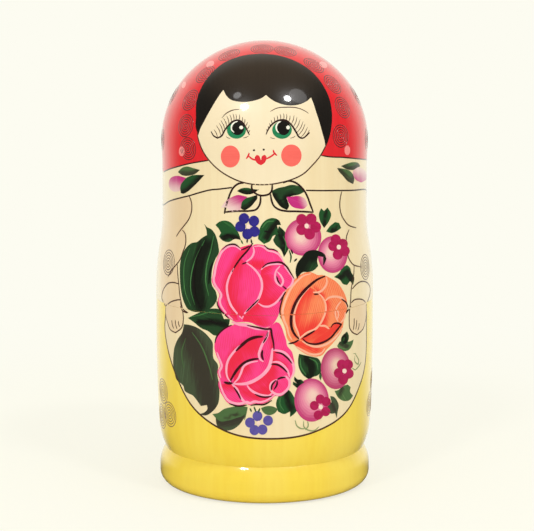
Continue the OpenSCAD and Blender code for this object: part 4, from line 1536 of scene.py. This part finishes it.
def press_stamps(doll, half, ground):
    """The ring stamps of one half, one object for each paint."""
    for paint, on_half, layer, radius, seen, round_it in STAMPS:
        if on_half != half:
            continue
        places = [chart_of_photo(points(seen))] + ([back_to_chart(*round_it)] if round_it else [])
        theta, along = np.vstack(places).T
        theta = theta / CHART_R
        seats = doll.place(theta, along, np.full(len(theta), COAT))
        seeds = bpy.data.meshes.new("stamp_seeds")
        seeds.from_pydata(seats.tolist(), [], [])
        for name, rows in (("out", normal_on_doll(theta, along)),
                           ("size", np.tile([radius * doll.size * MM] * 2 + [1], (len(theta), 1)))):
            seeds.attributes.new(name, "FLOAT_VECTOR", "POINT").data.foreach_set(
                "vector", np.ascontiguousarray(rows, dtype=np.float32).ravel())
        seed_object = bpy.data.objects.new("stamp_seeds", seeds)
        bpy.context.scene.collection.objects.link(seed_object)
        grow = seed_object.modifiers.new("stamps", "NODES")
        grow.node_group = RING_STAMP.tree
        settings = {"Ground": ground, "Rings": doll.detail("rings"),
                    "Steps": doll.detail("ring steps"), "Line width": doll.detail("ring line"),
                    "Depth": PAINT_DEPTH * MM, "Lift": (LAYER * layer - PAINT_DEPTH / 2) * MM,
                    "Paint": finishes[paint]}
        for label, value in settings.items():
            grow[RING_STAMP.inputs[label]] = value
        seen_by = bpy.context.evaluated_depsgraph_get()
        mesh = bpy.data.meshes.new_from_object(seed_object.evaluated_get(seen_by))
        bpy.data.objects.remove(seed_object)
        mesh.name = f"{paint}_{half}_{doll.k}"
        mesh.materials.clear()
        mesh.materials.append(finishes[paint])
        mesh.polygons.foreach_set("material_index", np.zeros(len(mesh.polygons), np.int32))
        obj = bpy.data.objects.new(mesh.name, mesh)
        bpy.context.scene.collection.objects.link(obj)
        doll.keep(obj, half)


drawings = [draw(level) for level in range(1 + max(DOLL_LEVEL))]
for k in range(1, SMALLEST + 1):
    doll = Doll(k)
    grounds = [coat(doll, "bottom", finishes["yellow"]), coat(doll, "top", finishes["cream"])]
    dress_top(doll)
    for half, ground in zip(HALVES, grounds):
        press_stamps(doll, half, ground)
    lay_paint(doll, *drawings[doll.level], finishes)

# ================================================================ floor, light and camera
BACKDROP = tint(253, 252, 241)
PLAIN_LIGHT = 0.8  # the world's level on the object
FLOOR_SHOWN = 0.3  # the share of the floor's look that is lit, and so holds the shadow
FLOOR_WIDTH, FLOOR_Z = 12, -0.0002  # metres; the floor lies just clear of the paint
LAMPS_AWAY = 1.6  # metres
FILM_WIDTH = 36  # of the camera, in mm


def seen_in_lacquer(finish, way):
    """What shows in the gloss: a dim room with a warm ceiling, and the white sweep behind."""
    behind = finish.node("ShaderNodeSeparateXYZ", None, {0: way}, out=1).between(0.2, 0.85)
    above = finish.node("ShaderNodeSeparateXYZ", None, {0: way}, out=2).between(0.55, 1.0)
    room = finish.mix(above, tint(84, 80, 74), tint(190, 164, 136))
    return finish.mix(behind, room, BACKDROP)


def stage_finish():
    """Pale floor. It keeps the shadow near the object and is plain white farther off."""
    f = Finish("pale_floor", roughness=0.9, gloss=0.0)
    path, vector, black = "ShaderNodeLightPath", "ShaderNodeVectorMath", tint(0, 0, 0)
    seen, glossy = f.node(path, out="Is Camera Ray"), f.node(path, out="Is Glossy Ray")
    where = f.node("ShaderNodeTexCoord", out="Object")
    far = f.node(vector, {"operation": "LENGTH"}, {0: where}, out=1).between(0.2, 0.5)
    lit = FLOOR_SHOWN * (1 - far)
    f.colour(f.mix(seen * lit + (1 - seen) * (1 - glossy), black, BACKDROP))
    way = f.node(vector, {"operation": "NORMALIZE"}, {0: where})
    shown = f.mix(glossy, BACKDROP, seen_in_lacquer(f, way))
    f.link("Emission Color", f.mix(seen * (1 - lit) + glossy, black, shown))
    f.shader.inputs["Emission Strength"].default_value = 1.0
    f.shader.inputs["Specular IOR Level"].default_value = 0.0
    return f.material


class Room(Finish):
    """The world: white to the camera, plain on the object, and a room in the lacquer."""

    def __init__(self, world):
        world.use_nodes = True
        self.tree = world.node_tree
        path = "ShaderNodeLightPath"
        seen, glossy = self.node(path, out="Is Camera Ray"), self.node(path, out="Is Glossy Ray")
        way = self.node("ShaderNodeTexCoord", out="Generated")
        background = self.tree.nodes["Background"]
        shown = self.mix(glossy, BACKDROP, seen_in_lacquer(self, way))
        self.tree.links.new(shown.socket, background.inputs["Color"])
        level = seen + glossy + (1 - seen) * (1 - glossy) * PLAIN_LIGHT
        self.tree.links.new(level.socket, background.inputs["Strength"])


bpy.ops.mesh.primitive_plane_add(size=FLOOR_WIDTH, location=(0, 0, FLOOR_Z))
floor = bpy.context.object
floor.name = "floor"
floor.data.materials.append(stage_finish())

world = bpy.data.worlds.new("pale_room")
bpy.context.scene.world = world
Room(world)


def soft_box(name, seen_at, size, power):
    """A round lamp, size metres across, whose reflection shows at this point of the photograph."""
    place = chart_of_photo([seen_at])
    spot = on_doll(place[:, 0] / CHART_R, place[:, 1])[0] * MM
    out = normal_on_doll(place[:, 0] / CHART_R, place[:, 1])[0]
    look = spot - EYE
    look /= np.linalg.norm(look)
    bounce = look - 2 * (look @ out) * out
    light = bpy.data.lights.new(name, "AREA")
    light.shape, light.size, light.energy = "DISK", size, power
    lamp = bpy.data.objects.new(name, light)
    bpy.context.scene.collection.objects.link(lamp)
    lamp.location = Vector(spot + bounce * LAMPS_AWAY)
    lamp.rotation_euler = Vector(-bounce).to_track_quat("-Z", "Y").to_euler()


soft_box("left_lamp", (244.5, 107), 0.24, 4.8)
soft_box("right_lamp", (287.5, 98.6), 0.2, 4.4)
soft_box("left_glow", (237.3, 95.5), 0.22, 0.45)
soft_box("right_glow", (298, 96), 0.5, 1.1)

camera_data = bpy.data.cameras.new("camera")
camera_data.sensor_width = FILM_WIDTH
camera_data.lens = FOCAL_PX * FILM_WIDTH / PHOTO_W
camera = bpy.data.objects.new("camera", camera_data)
bpy.context.scene.collection.objects.link(camera)
camera.location = Vector(EYE)
camera.rotation_euler = Vector(AHEAD).to_track_quat("-Z", "Y").to_euler()
bpy.context.scene.camera = camera
bpy.context.scene.view_settings.view_transform = "Standard"
